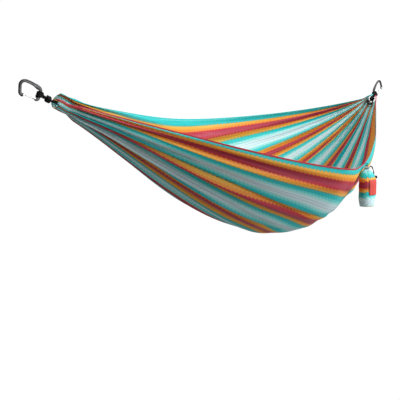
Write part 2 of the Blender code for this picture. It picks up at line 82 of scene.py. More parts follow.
def addCamera():
    data = bpy.data.cameras.new("camera")
    data.lens = view["lens"]
    data.sensor_width = 36.0
    camera = bpy.data.objects.new("camera", data)
    camera.location = leftGather + Vector(view["place"])
    camera.rotation_euler = (math.radians(90 + view["tilt"]), 0.0, math.radians(-view["turn"]))
    bpy.context.scene.collection.objects.link(camera)
    bpy.context.scene.camera = camera


def addLight(name, place, size, watts):
    data = bpy.data.lights.new(name, "AREA")
    data.shape = "DISK"
    data.size = size
    data.energy = watts
    light = bpy.data.objects.new(name, data)
    light.location = place
    aim = leftGather + Vector((gatherSpan / 2, 0.0, -0.35)) - Vector(place)
    light.rotation_euler = aim.to_track_quat("-Z", "Y").to_euler()
    bpy.context.scene.collection.objects.link(light)


def makeGraph(tree):
    # add makes a node and links or sets its inputs; calc is one step of arithmetic
    def add(kind, inputs=None, **values):
        node = tree.nodes.new(kind)
        for key, value in values.items():
            setattr(node, key, value)
        for slot, content in (inputs or {}).items():
            if isinstance(content, bpy.types.NodeSocket):
                tree.links.new(content, node.inputs[slot])
            else:
                node.inputs[slot].default_value = content
        return node

    def calc(operation, a, b=0.0, c=0.0, clamp=False):
        node = add("ShaderNodeMath", {0: a, 1: b, 2: c}, operation=operation, use_clamp=clamp)
        return node.outputs[0]

    return add, calc


def addStudio():
    bpy.ops.mesh.primitive_plane_add(size=studio["floorSize"], location=(1.4, 0.0, -studio["floorDrop"]))
    floor = bpy.context.object
    floor.name = "floor"
    material = bpy.data.materials.new("paleFloor")
    material.use_nodes = True
    tree = material.node_tree
    add, calc = makeGraph(tree)
    shader = tree.nodes["Principled BSDF"]
    shader.inputs["Base Color"].default_value = (*[studio["floorTone"]] * 3, 1.0)
    shader.inputs["Roughness"].default_value = 0.9
    glow = add("ShaderNodeEmission", {"Color": (1, 1, 1, 1), "Strength": studio["white"]})
    seen = add("ShaderNodeLightPath").outputs["Is Camera Ray"]
    mix = add("ShaderNodeMixShader", {0: seen, 1: shader.outputs[0], 2: glow.outputs[0]})
    tree.links.new(mix.outputs[0], tree.nodes["Material Output"].inputs["Surface"])
    floor.data.materials.append(material)
    for name in ("key", "fill", "top"):
        addLight(name, **studio[name])
    world = bpy.data.worlds.new("studio")
    world.use_nodes = True
    add, calc = makeGraph(world.node_tree)
    seen = add("ShaderNodeLightPath").outputs["Is Camera Ray"]
    strength = calc("MULTIPLY_ADD", seen, studio["white"] - studio["ambient"], studio["ambient"])
    background = world.node_tree.nodes["Background"]
    background.inputs["Color"].default_value = (1.0, 1.0, 1.0, 1.0)
    world.node_tree.links.new(strength, background.inputs["Strength"])
    bpy.context.scene.world = world
    bpy.context.scene.view_settings.view_transform = "Standard"


addCamera()
addStudio()
print("camera and studio ready")


# meshes from rings of points
def smoothRoute(points, spacing):
    knots = [np.array(point, float) for point in points]
    ends = [2 * knots[0] - knots[1]] + knots + [2 * knots[-1] - knots[-2]]
    route = [knots[0]]
    for before, start, finish, after in zip(ends, ends[1:], ends[2:], ends[3:]):
        steps = max(1, round(np.linalg.norm(finish - start) / spacing))
        for step in range(1, steps + 1):
            t = step / steps
            route.append(0.5 * (2 * start + (finish - before) * t
                                + (2 * before - 5 * start + 4 * finish - after) * t ** 2
                                + (3 * start - 3 * finish + after - before) * t ** 3))
    return np.array(route)


def runAlong(route):
    return np.concatenate([[0], np.cumsum(np.linalg.norm(np.diff(route, axis=0), axis=1))])


def evenRoute(route, spacing):
    runs = runAlong(route)
    marks = np.linspace(0, runs[-1], max(2, round(runs[-1] / spacing) + 1))
    return np.stack([np.interp(marks, runs, route[:, axis]) for axis in range(3)], -1)


def unit(vectors):
    return vectors / np.maximum(np.linalg.norm(vectors, axis=-1, keepdims=True), 1e-9)


def pathFrames(route, cyclic=False, normal=None):
    # two directions square to the path that turn with it as little as they can
    if cyclic:
        ahead = unit(np.roll(route, -1, 0) - np.roll(route, 1, 0))
    else:
        ahead = unit(np.gradient(route, axis=0))
    if normal is not None:
        side = unit(np.cross(ahead, np.broadcast_to(normal, ahead.shape)))
        return ahead, side, np.cross(side, ahead)
    first = np.cross(ahead[0], (0.0, 0.0, 1.0))
    if np.linalg.norm(first) < 0.1:
        first = np.cross(ahead[0], (0.0, 1.0, 0.0))
    side = [first / np.linalg.norm(first)]
    for step in ahead[1:]:
        turned = side[-1] - step * np.dot(side[-1], step)
        side.append(turned / np.linalg.norm(turned))
    side = np.array(side)
    if cyclic:
        back = side[-1] - ahead[0] * np.dot(side[-1], ahead[0])
        lag = math.atan2(np.dot(np.cross(back, side[0]), ahead[0]), np.dot(back, side[0]))
        twist = (np.arange(len(route)) / len(route) * lag)[:, None]
        side = side * np.cos(twist) + np.cross(ahead, side) * np.sin(twist)
    return ahead, side, np.cross(side, ahead)


def roundRings(route, radius, sides, cyclic=False, braid=None):
    # rings of points round a path; braid gives (strands, pitch, depth)
    ahead, side, up = pathFrames(route, cyclic)
    angle = np.linspace(0, 2 * math.pi, sides, endpoint=False)[None, :]
    radius = np.broadcast_to(radius, len(route))[:, None] + 0 * angle
    if braid:
        strands, pitch, depth = braid
        turn = 2 * math.pi * runAlong(route)[:, None] / pitch
        one = np.abs(np.sin(strands / 2 * angle + turn))
        other = np.abs(np.sin(strands / 2 * angle - turn))
        radius = radius - depth * np.minimum(one, other) ** 0.7
    return (route[:, None, :] + side[:, None, :] * (radius * np.cos(angle))[..., None]
            + up[:, None, :] * (radius * np.sin(angle))[..., None])


def loft(name, rings, material, uAlong=None, vAround=None, around=True, cyclic=False, caps=True):
    # skin a stack of rings; the UV map holds metres along and across
    rows, count = rings.shape[:2]
    if uAlong is None:
        uAlong = runAlong(rings.mean(1))
    if vAround is None:
        middle = rings[rows // 2]
        breadth = np.linalg.norm(middle - middle[0], axis=1).max()
        vAround = np.linspace(0, 1, count + 1) * breadth * math.pi
    if cyclic:
        uAlong = np.append(uAlong, uAlong[-1] + np.linalg.norm(rings[0].mean(0) - rings[-1].mean(0)))
    rowSteps = np.arange(rows if cyclic else rows - 1)
    columnSteps = np.arange(count if around else count - 1)
    i, j = np.meshgrid(rowSteps, columnSteps, indexing="ij")
    i, j = i.ravel(), j.ravel()
    nextRow, nextColumn = (i + 1) % rows, (j + 1) % count
    faces = np.stack([i * count + j, i * count + nextColumn,
                      nextRow * count + nextColumn, nextRow * count + j], -1)
    uAlong, vAround = np.asarray(uAlong, float), np.asarray(vAround, float)
    if uAlong.ndim == 1:
        uAlong = np.repeat(uAlong[:, None], vAround.shape[-1], 1)
    if vAround.ndim == 1:
        vAround = np.repeat(vAround[None, :], len(uAlong), 0)
    corners = ((i, j), (i, j + 1), (i + 1, j + 1), (i + 1, j))
    uv = np.stack([np.stack([uAlong[a, b], vAround[a, b]], -1) for a, b in corners], 1).reshape(-1, 2)
    faceList = faces.tolist()
    if caps and not cyclic and around:
        faceList += [list(range(count))[::-1], list(range((rows - 1) * count, rows * count))]
        uv = np.concatenate([uv, np.zeros((2 * count, 2))])
    mesh = bpy.data.meshes.new(name)
    mesh.from_pydata(rings.reshape(-1, 3).tolist(), [], faceList)
    mesh.uv_layers.new(name="UVMap").data.foreach_set("uv", uv.ravel())
    mesh.materials.append(material)
    if around:
        fixNormals(mesh)
    mesh.shade_smooth()
    item = bpy.data.objects.new(name, mesh)
    bpy.context.scene.collection.objects.link(item)
    return item


def fixNormals(mesh):
    bm = bmesh.new()
    bm.from_mesh(mesh)
    bmesh.ops.recalc_face_normals(bm, faces=bm.faces)
    bm.to_mesh(mesh)
    bm.free()


def boxy(value, power):
    # a sine or cosine pushed towards one, for sections with flat sides
    return np.sign(value) * np.abs(value) ** power


def transformed(rings, place):
    turn = np.array(place.to_3x3())
    return rings @ turn.T + np.array(place.translation)


def register(piece, body, slot, *nodes):
    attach(piece, body)
    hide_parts(*nodes)
    return piece


def finishMesh(item):
    # turn an object and its modifiers into a plain mesh
    evaluated = item.evaluated_get(bpy.context.evaluated_depsgraph_get())
    mesh = bpy.data.meshes.new_from_object(evaluated)
    mesh.name = item.name
    name = item.name
    bpy.data.objects.remove(item, do_unlink=True)
    result = bpy.data.objects.new(name, mesh)
    bpy.context.scene.collection.objects.link(result)
    return result


def addCutter(item, bm):
    # turn bm into an object that is cut out of item
    mesh = bpy.data.meshes.new("cutter")
    bm.to_mesh(mesh)
    bm.free()
    tool = bpy.data.objects.new("cutter", mesh)
    bpy.context.scene.collection.objects.link(tool)
    item.modifiers.new("cut", "BOOLEAN").object = tool
    return tool


def finishCut(item, tools, sharpFrom):
    bpy.context.view_layer.update()
    item = finishMesh(item)
    for tool in tools:
        bpy.data.objects.remove(tool, do_unlink=True)
    item.data.set_sharp_from_angle(angle=math.radians(sharpFrom))
    return item


# shader groups that several finishes share
def newGroup(name, inputs, outputs):
    group = bpy.data.node_groups.new(name, "ShaderNodeTree")
    for label, kind, value in inputs:
        socket = group.interface.new_socket(label, in_out="INPUT", socket_type=kind)
        if value is not None:
            socket.default_value = value
    for label, kind in outputs:
        group.interface.new_socket(label, in_out="OUTPUT", socket_type=kind)
    return group, group.nodes.new("NodeGroupInput"), group.nodes.new("NodeGroupOutput")


def makeWeaveGroup():
    # plain weave with a ripstop grid: Height for bump, Tone for the threads' uneven dye
    group, given, result = newGroup(
        "plainWeave", (("Vector", "NodeSocketVector", None), ("Pitch", "NodeSocketFloat", 0.0006),
                       ("Grid", "NodeSocketFloat", 0.006)),
        (("Height", "NodeSocketFloat"), ("Tone", "NodeSocketFloat")))
    add, calc = makeGraph(group)
    split = add("ShaderNodeSeparateXYZ", {0: given.outputs["Vector"]})
    pitch = given.outputs["Pitch"]
    warp, weft = (calc("SINE", calc("DIVIDE", calc("MULTIPLY", split.outputs[way], 2 * math.pi), pitch))
                  for way in ("X", "Y"))
    weave = calc("MULTIPLY", warp, weft)
    gridX = calc("PINGPONG", calc("DIVIDE", split.outputs["X"], given.outputs["Grid"]), 1.0)
    gridY = calc("PINGPONG", calc("DIVIDE", split.outputs["Y"], given.outputs["Grid"]), 1.0)
    ribs = calc("MAXIMUM", calc("GREATER_THAN", gridX, 0.93), calc("GREATER_THAN", gridY, 0.93))
    height = calc("ADD", calc("MULTIPLY", weave, 0.35), calc("MULTIPLY", ribs, 0.5))
    stretch = add("ShaderNodeMapping", {"Vector": given.outputs["Vector"], "Scale": (6.0, 420.0, 1.0)})
    streaks = add("ShaderNodeTexNoise", {"Vector": stretch.outputs[0], "Scale": 1.0, "Detail": 3.0})
    group.links.new(height, result.inputs["Height"])
    group.links.new(streaks.outputs[0], result.inputs["Tone"])
    return group


def makeBraidGroup():
    # sixteen-plait sleeve: U runs along the cord and V round it, both in metres
    group, given, result = newGroup(
        "plait", (("Vector", "NodeSocketVector", None), ("Pitch", "NodeSocketFloat", 0.005),
                  ("Fibres", "NodeSocketFloat", 0.0006)),
        (("Height", "NodeSocketFloat"), ("Tone", "NodeSocketFloat")))
    add, calc = makeGraph(group)
    split = add("ShaderNodeSeparateXYZ", {0: given.outputs["Vector"]})
    along, across = split.outputs["X"], split.outputs["Y"]
    lay = calc("DIVIDE", calc("ADD", along, across), given.outputs["Pitch"])
    counter = calc("DIVIDE", calc("SUBTRACT", along, across), given.outputs["Pitch"])
    one = calc("PINGPONG", lay, 0.5)
    other = calc("PINGPONG", counter, 0.5)
    fibre = calc("SINE", calc("DIVIDE", calc("MULTIPLY", calc("ADD", along, across), 2 * math.pi),
                              given.outputs["Fibres"]))
    height = calc("ADD", calc("MULTIPLY", calc("MINIMUM", one, other), 2.0), calc("MULTIPLY", fibre, 0.12))
    fuzz = add("ShaderNodeTexNoise", {"Vector": given.outputs["Vector"], "Scale": 900.0, "Detail": 4.0})
    # Tone is painted shade and light taken from the plait's relief: dark in the grooves between strands,
    # light on their crests, mixed with random fibre fuzz
    toneAndShade = calc("ADD", calc("MULTIPLY", height, 0.6), calc("MULTIPLY", fuzz.outputs[0], 0.4))
    group.links.new(height, result.inputs["Height"])
    group.links.new(toneAndShade, result.inputs["Tone"])
    return group


def makeScuffGroup():
    # fine grain, with rubbed patches and hairline scratches
    group, given, result = newGroup(
        "scuffs", (("Grain", "NodeSocketFloat", 2500.0), ("Patch", "NodeSocketFloat", 90.0)),
        (("Height", "NodeSocketFloat"), ("Wear", "NodeSocketFloat")))
    add, calc = makeGraph(group)
    place = add("ShaderNodeTexCoord").outputs["Object"]
    grain = add("ShaderNodeTexNoise", {"Vector": place, "Scale": given.outputs["Grain"], "Detail": 3.0})
    patch = add("ShaderNodeTexNoise", {"Vector": place, "Scale": given.outputs["Patch"], "Detail": 5.0})
    drawn = add("ShaderNodeMapping", {"Vector": place, "Scale": (60.0, 900.0, 140.0)})
    hair = add("ShaderNodeTexNoise", {"Vector": drawn.outputs[0], "Scale": 4.0, "Detail": 2.0})
    scratch = calc("GREATER_THAN", hair.outputs[0], 0.68)
    rubbed = calc("MULTIPLY", calc("SUBTRACT", patch.outputs[0], 0.52), 6.0, clamp=True)
    wear = calc("MAXIMUM", calc("MULTIPLY", scratch, 0.5), rubbed)
    group.links.new(grain.outputs[0], result.inputs["Height"])
    group.links.new(wear, result.inputs["Wear"])
    return group


weaveGroup = makeWeaveGroup()
braidGroup = makeBraidGroup()
scuffGroup = makeScuffGroup()


def newMaterial(name, roughness, metallic=0.0, sheen=0.0, specular=0.5):
    material = bpy.data.materials.new(name)
    material.use_nodes = True
    shader = material.node_tree.nodes["Principled BSDF"]
    shader.inputs["Roughness"].default_value = roughness
    shader.inputs["Metallic"].default_value = metallic
    shader.inputs["Sheen Weight"].default_value = sheen
    shader.inputs["Sheen Roughness"].default_value = 0.4
    shader.inputs["Specular IOR Level"].default_value = specular
    add, calc = makeGraph(material.node_tree)
    return material, shader, add, calc


def addBump(add, shader, height, distance, strength=1.0):
    bump = add("ShaderNodeBump", {"Height": height, "Distance": distance, "Strength": strength})
    shader.id_data.links.new(bump.outputs[0], shader.inputs["Normal"])


def blendColour(add, factor, first, second, mode="MIX"):
    first, second = ((*colour, 1.0) if isinstance(colour, tuple) else colour for colour in (first, second))
    node = add("ShaderNodeMix", {0: factor, 6: first, 7: second}, data_type="RGBA", blend_type=mode)
    return node.outputs[2]


def tonedColour(add, colour, toneAndShade, low, high):
    # lighten and darken a colour with a mask that runs from 0 to 1; for cords the mask is painted shade in
    # the plait's grooves and painted light on its crests
    level = add("ShaderNodeMapRange", {"Value": toneAndShade, "To Min": low, "To Max": high}).outputs[0]
    shade = add("ShaderNodeCombineXYZ", {0: level, 1: level, 2: level}).outputs[0]
    return blendColour(add, 1.0, colour, shade, "MULTIPLY")


# printed cloth: six repeats of wavy stripes across the bed
crimson, rose, rust = (0.43, 0.018, 0.038), (0.40, 0.034, 0.072), (0.50, 0.050, 0.014)
orange, gold, olive = (0.74, 0.23, 0.014), (0.78, 0.37, 0.036), (0.30, 0.33, 0.11)
teal, cyan, aqua = (0.008, 0.36, 0.33), (0.006, 0.50, 0.50), (0.12, 0.64, 0.62)
mint, chalk, lilac = (0.36, 0.74, 0.72), (0.62, 0.80, 0.83), (0.46, 0.60, 0.66)
cloth = {"repeat": 0.3115, "width": 1.757, "length": 2.944, "wave": 0.0034, "waveLength": 0.026,
         "waveDrift": 7.3,
         "stripes": ((0.000, rose), (0.028, rose), (0.044, crimson), (0.082, crimson), (0.090, rust),
                     (0.104, orange), (0.138, orange), (0.158, gold), (0.192, gold), (0.200, olive),
                     (0.212, teal), (0.235, cyan), (0.300, cyan), (0.312, aqua), (0.348, aqua),
                     (0.362, mint), (0.402, mint), (0.412, chalk), (0.452, chalk), (0.460, lilac),
                     (0.472, lilac), (0.480, chalk), (0.500, chalk))}


def stripeColour(add, calc, along, across, repeat, wave, waveLength, stripes):
    # the wave shifts its phase from stripe to stripe, so that two edges of a stripe differ
    drift = calc("MULTIPLY", calc("DIVIDE", across, repeat), cloth["waveDrift"])
    phase = calc("ADD", calc("DIVIDE", along, waveLength), drift)
    zigzag = calc("SUBTRACT", calc("PINGPONG", phase, 0.5), 0.25)
    placed = calc("MULTIPLY_ADD", zigzag, wave * 4, across)
    turn = calc("FRACT", calc("DIVIDE", placed, repeat))
    mirrored = calc("MULTIPLY", calc("ABSOLUTE", calc("SUBTRACT", turn, 0.5)), 2.0)
    ramp = add("ShaderNodeValToRGB", {"Fac": mirrored})
    ramp.color_ramp.interpolation = "LINEAR"
    elements = ramp.color_ramp.elements
    while len(elements) < len(stripes):
        elements.new(0.5)
    for element, (place, colour) in zip(elements, stripes):
        element.position = place * 2
        element.color = (*colour, 1.0)
    return ramp.outputs["Color"]


def clothMaterial(name, repeat, wave, waveLength, shift=0.0):
    material, shader, add, calc = newMaterial(name, 0.58, sheen=0.12, specular=0.35)
    uv = add("ShaderNodeUVMap", uv_map="UVMap").outputs["UV"]
    split = add("ShaderNodeSeparateXYZ", {0: uv})
    across = calc("ADD", split.outputs["Y"], shift)
    colour = stripeColour(add, calc, split.outputs["X"], across, repeat, wave, waveLength, cloth["stripes"])
    weave = add("ShaderNodeGroup", {"Vector": uv, "Pitch": 0.0007, "Grid": 0.0075}, node_tree=weaveGroup)
    colour = tonedColour(add, colour, weave.outputs["Tone"], 0.86, 1.10)
    shader.id_data.links.new(colour, shader.inputs["Base Color"])
    drift = add("ShaderNodeTexNoise", {"Vector": uv, "Scale": 14.0, "Detail": 4.0}).outputs[0]
    rough = add("ShaderNodeMapRange", {"Value": drift, "To Min": 0.50, "To Max": 0.68}).outputs[0]
    shader.id_data.links.new(rough, shader.inputs["Roughness"])
    crease = add("ShaderNodeMapping", {"Vector": uv, "Scale": (5.0, 46.0, 1.0)}).outputs[0]
    creases = add("ShaderNodeTexNoise", {"Vector": crease, "Scale": 1.0, "Detail": 5.0,
                                         "Roughness": 0.6}).outputs[0]
    height = calc("MULTIPLY_ADD", weave.outputs["Height"], 0.05, creases)
    addBump(add, shader, height, 0.0028, 0.7)
    return material


def threadMaterial(name, colour):
    material, shader, add, calc = newMaterial(name, 0.6, sheen=0.2)
    place = add("ShaderNodeTexCoord").outputs["Object"]
    twist = add("ShaderNodeTexNoise", {"Vector": place, "Scale": 1400.0, "Detail": 2.0}).outputs[0]
    toned = tonedColour(add, colour, twist, 0.75, 1.2)
    shader.id_data.links.new(toned, shader.inputs["Base Color"])
    addBump(add, shader, twist, 0.0003)
    return material


def cordMaterial(name, colour, pitch, fibres, low=0.5, high=2.2):
    material, shader, add, calc = newMaterial(name, 0.82, sheen=0.03, specular=0.18)
    uv = add("ShaderNodeUVMap", uv_map="UVMap").outputs["UV"]
    plait = add("ShaderNodeGroup", {"Vector": uv, "Pitch": pitch, "Fibres": fibres}, node_tree=braidGroup)
    # low and high set how dark the painted shade in the plait's grooves is and how light the painted
    # highlight on its crests is
    toned = tonedColour(add, colour, plait.outputs["Tone"], low, high)
    shader.id_data.links.new(toned, shader.inputs["Base Color"])
    addBump(add, shader, plait.outputs["Height"], 0.0004)
    return material


def scuffedMaterial(name, colour, worn, roughness, metallic, grain, patch, amount):
    material, shader, add, calc = newMaterial(name, roughness, metallic)
    scuffs = add("ShaderNodeGroup", {"Grain": grain, "Patch": patch}, node_tree=scuffGroup)
    mask = calc("MULTIPLY", scuffs.outputs["Wear"], amount)
    shader.id_data.links.new(blendColour(add, mask, colour, worn), shader.inputs["Base Color"])
    rough = calc("MULTIPLY_ADD", scuffs.outputs["Height"], 0.16, roughness - 0.08)
    shader.id_data.links.new(rough, shader.inputs["Roughness"])
    addBump(add, shader, scuffs.outputs["Height"], 0.00012)
    return material


finishes = {
    "cloth": clothMaterial("stripedCloth", cloth["repeat"], cloth["wave"], cloth["waveLength"]),
    "sackCloth": clothMaterial("sackCloth", 0.190, 0.0046, 0.036, 0.008),
    "rope": cordMaterial("blackRope", (0.013, 0.013, 0.015), 0.0064, 0.0007, 0.5, 1.7),
    "whipping": cordMaterial("waxedCord", (0.013, 0.013, 0.014), 0.0011, 0.0003),
    "cord": cordMaterial("blackCord", (0.008, 0.008, 0.009), 0.0032, 0.0005, 0.5, 1.5),
    "thread": threadMaterial("seamThread", (0.60, 0.70, 0.70)),
    "redThread": threadMaterial("hemThread", (0.34, 0.03, 0.04)),
    "alloy": scuffedMaterial("blackAlloy", (0.040, 0.041, 0.045), (0.13, 0.13, 0.135),
                             0.40, 0.35, 2600.0, 95.0, 0.5),
    "wire": scuffedMaterial("brightWire", (0.50, 0.51, 0.53), (0.34, 0.34, 0.35),
                            0.30, 1.0, 3200.0, 160.0, 0.4),
    "plastic": scuffedMaterial("mouldedPlastic", (0.016, 0.016, 0.017), (0.045, 0.045, 0.046),
                               0.42, 0.0, 2200.0, 130.0, 0.5),
    "spring": scuffedMaterial("springWire", (0.55, 0.55, 0.57), (0.35, 0.34, 0.33),
                              0.3, 1.0, 3000.0, 200.0, 0.3),
}


def labelMaterial():
    material, shader, add, calc = newMaterial("redPatch", 0.62, sheen=0.2)
    uv = add("ShaderNodeUVMap", uv_map="UVMap").outputs["UV"]
    split = add("ShaderNodeSeparateXYZ", {0: uv})
    twill = calc("PINGPONG", calc("DIVIDE", calc("ADD", split.outputs["X"], split.outputs["Y"]), 0.0009), 0.5)
    toned = tonedColour(add, (0.62, 0.045, 0.030), twill, 0.86, 1.25)
    shader.id_data.links.new(toned, shader.inputs["Base Color"])
    addBump(add, shader, twill, 0.00025)
    return material


finishes["label"] = labelMaterial()
print("finishes ready")


# rows of stitches laid along a path
def makeStitchTree():
    tree = bpy.data.node_groups.new("stitchRow", "GeometryNodeTree")
    for label, kind, value in (("Path", "NodeSocketGeometry", None), ("Pitch", "NodeSocketFloat", 0.0045),
                               ("Length", "NodeSocketFloat", 0.0032),
                               ("Thickness", "NodeSocketFloat", 0.0005),
                               ("Thread", "NodeSocketMaterial", None)):
        socket = tree.interface.new_socket(label, in_out="INPUT", socket_type=kind)
        if value is not None:
            socket.default_value = value
    tree.interface.new_socket("Stitches", in_out="OUTPUT", socket_type="NodeSocketGeometry")
    add, calc = makeGraph(tree)
    given = add("NodeGroupInput")
    result = add("NodeGroupOutput")
    path = add("GeometryNodeResampleCurve", {"Curve": given.outputs["Path"]}, mode="LENGTH")
    tree.links.new(given.outputs["Pitch"], path.inputs["Length"])
    stitch = add("GeometryNodeMeshUVSphere", {"Segments": 6, "Rings": 4, "Radius": 0.5})
    size = add("ShaderNodeCombineXYZ", {0: given.outputs["Thickness"], 1: given.outputs["Thickness"],
                                        2: given.outputs["Length"]}).outputs[0]
    shaped = add("GeometryNodeTransform", {"Geometry": stitch.outputs[0], "Scale": size})
    tangent = add("GeometryNodeInputTangent").outputs[0]
    turn = add("FunctionNodeAlignRotationToVector", {"Vector": tangent}, axis="Z").outputs[0]
    row = add("GeometryNodeInstanceOnPoints", {"Points": path.outputs[0], "Instance": shaped.outputs[0],
                                               "Rotation": turn})
    real = add("GeometryNodeRealizeInstances", {"Geometry": row.outputs[0]})
    painted = add("GeometryNodeSetMaterial", {"Geometry": real.outputs[0],
                                              "Material": given.outputs["Thread"]})
    tree.links.new(painted.outputs[0], result.inputs[0])
    return tree


stitchTree = makeStitchTree()


def layStitches(name, paths, material, pitch=0.0045, length=0.0032, thickness=0.0006):
    curve = bpy.data.curves.new(name, "CURVE")
    curve.dimensions = "3D"
    for path in paths:
        spline = curve.splines.new("POLY")
        spline.points.add(len(path) - 1)
        spline.points.foreach_set("co", np.hstack([path, np.ones((len(path), 1))]).ravel())
    item = bpy.data.objects.new(name, curve)
    bpy.context.scene.collection.objects.link(item)
    row = item.modifiers.new("stitches", "NODES")
    row.node_group = stitchTree
    named = {socket.name: socket.identifier for socket in stitchTree.interface.items_tree
             if socket.in_out == "INPUT"}
    for label, value in (("Pitch", pitch), ("Length", length), ("Thickness", thickness),
                         ("Thread", material)):
        row[named[label]] = value
    bpy.context.view_layer.update()
    piece = finishMesh(item)
    piece.data.shade_smooth()
    return piece


# the bed: one sheet gathered at both ends
bed = {"rows": 170, "columns": 272, "thickness": 0.0008,
       # each curve's reach in metres, its sharpness and its lean towards the right end
       "curves": {"farOut": (0.673, 1.745, 0.413), "farDrop": (0.112, 1.889, 0.413),
                  "nearOut": (0.580, 1.341, 0.148), "nearDrop": (0.341, 1.533, 0.261),
                  "drop": (0.746, 1.482, 0.205)},
       "gatherRadius": 0.030, "gatherArc": (-182.0, 112.0), "gatherFade": 8.0,
       "ruffle": {"from": 0.032, "length": 0.022, "radius": 0.0250, "arc": (-195.0, 140.0)},
       "calm": (0.15, 0.030, 0.110), "besideSack": 0.105, "tucks": (2.5, 4.5),
       "hemFlare": {"at": 0.84, "reach": 0.05, "move": (0.004, -0.003)},
       "hemWidth": 0.0085, "hemThickness": 0.0024, "hemSides": 14, "hemStitch": (0.0048, 0.0034, 0.0007),
       # how far the corners reach along the bed, and the shift of each along X and Z
       "corner": {"reach": 0.10, "farLeft": (0.030, 0.012), "nearLeft": (-0.003, -0.002),
                  "nearRight": (0.010, 0.006)},
       "tuck": {"push": 0.010, "pinch": 0.05, "pull": 0.075, "width": 0.035, "reach": 0.28},
       "nearFold": {"at": 0.955, "width": 0.010, "depth": 0.016, "ends": (0.02, 0.24)},
       "threadsLeft": ((0.0, 0.16), (0.49, 2.5), (0.95, 5.5), (1.0, 5.80)),
       "threadsRight": ((0.0, 0.16), (0.36, 2.55), (0.68, 4.5), (0.865, 5.5), (1.0, 5.80)),
       "girth": 1.757,
       "pleats": ((34, 0.0076, 0.08, 0.48, 1), (13, 0.0140, 0.40, 0.44, 2), (6, 0.0195, 0.85, 0.55, 3))}


def smoothStep(value, start, finish):
    t = np.clip((value - start) / (finish - start), 0, 1)
    return t * t * (3 - 2 * t)


def bulge(s, sharpness, lean):
    t = np.power(s, math.exp(lean))
    return np.power(np.maximum(1 - np.abs(2 * t - 1) ** sharpness, 0.0), 0.92)


def bedSurface(s, w):
    # s runs along the bed from 0 to 1, w across it from -1 at the far hem to 1 at the near hem
    farOut, farDown, nearOut, nearDown, low = (size * bulge(s, sharpness, lean)
                                               for size, sharpness, lean in bed["curves"].values())
    isFar = w < 0
    edge = np.where(isFar, np.hypot(farOut, farDown), np.hypot(nearOut, nearDown))
    reach = low + (edge - low) * w ** 2
    farSwing = np.arctan2(farOut, np.maximum(farDown, 1e-6))
    nearSwing = np.arctan2(nearOut, np.maximum(nearDown, 1e-6))
    swing = w * np.where(isFar, farSwing, nearSwing)
    # the end channels draw in round the ropes and run on past them as a ruffle
    ruffle = bed["ruffle"]
    fromLeft, fromRight = gatherSpan * s, gatherSpan * (1 - s)
    leftRuffle = 1 - smoothStep(fromLeft, 0.0, ruffle["from"])
    rightRuffle = 1 - smoothStep(fromRight, 0.0, ruffle["from"])
    drawn = np.maximum(leftRuffle, rightRuffle)
    start, finish = (np.radians(wide + (tight - wide) * drawn)
                     for wide, tight in zip(bed["gatherArc"], ruffle["arc"]))
    turn = start + (finish - start) * (w + 1) / 2
    bunch = bed["gatherRadius"] * np.abs(2 * s - 1) ** bed["gatherFade"]
    bunch = bunch + (ruffle["radius"] - bunch) * drawn
    # the loose corners of the end channels stick out past the rope
    corner = bed["corner"]
    leftEnd, rightEnd = np.exp(-fromLeft / corner["reach"]), np.exp(-fromRight / corner["reach"])
    farSide, nearSide = smoothStep(-w, 0.3, 1.0), smoothStep(w, 0.3, 1.0)
    moveX, moveZ = (leftEnd * (corner["farLeft"][axis] * farSide + corner["nearLeft"][axis] * nearSide)
                    for axis in (0, 1))
    leftOut, rightOut = (np.array(places[side].col[0][:3]) * ruffle["length"] for side in ("left", "right"))
    flare = smoothStep(w, 0.75, 1.0) - 0.7 * np.exp(-((w - 0.66) / 0.16) ** 2)
    flare = flare * np.exp(-((s - bed["hemFlare"]["at"]) / bed["hemFlare"]["reach"]) ** 2)
    x = leftGather.x + gatherSpan * s
    x = x + moveX + rightEnd * corner["nearRight"][0] * nearSide
    x = x + leftOut[0] * leftRuffle + rightOut[0] * rightRuffle + flare * bed["hemFlare"]["move"][0]
    y = -reach * np.sin(swing) - bunch * np.sin(turn) + flare * bed["hemFlare"]["move"][1]
    z = leftGather.z - reach * np.cos(swing) - bunch * np.cos(turn)
    z = z + moveZ + rightEnd * corner["nearRight"][1] * nearSide
    z = z + leftOut[2] * leftRuffle + rightOut[2] * rightRuffle
    return np.stack([x + 0 * w, y, z], -1)


def ridge(phase):
    # sharp crests at whole numbers and round hollows between them
    return 1 - 2 * np.abs(np.sin(math.pi * phase)) ** 0.75


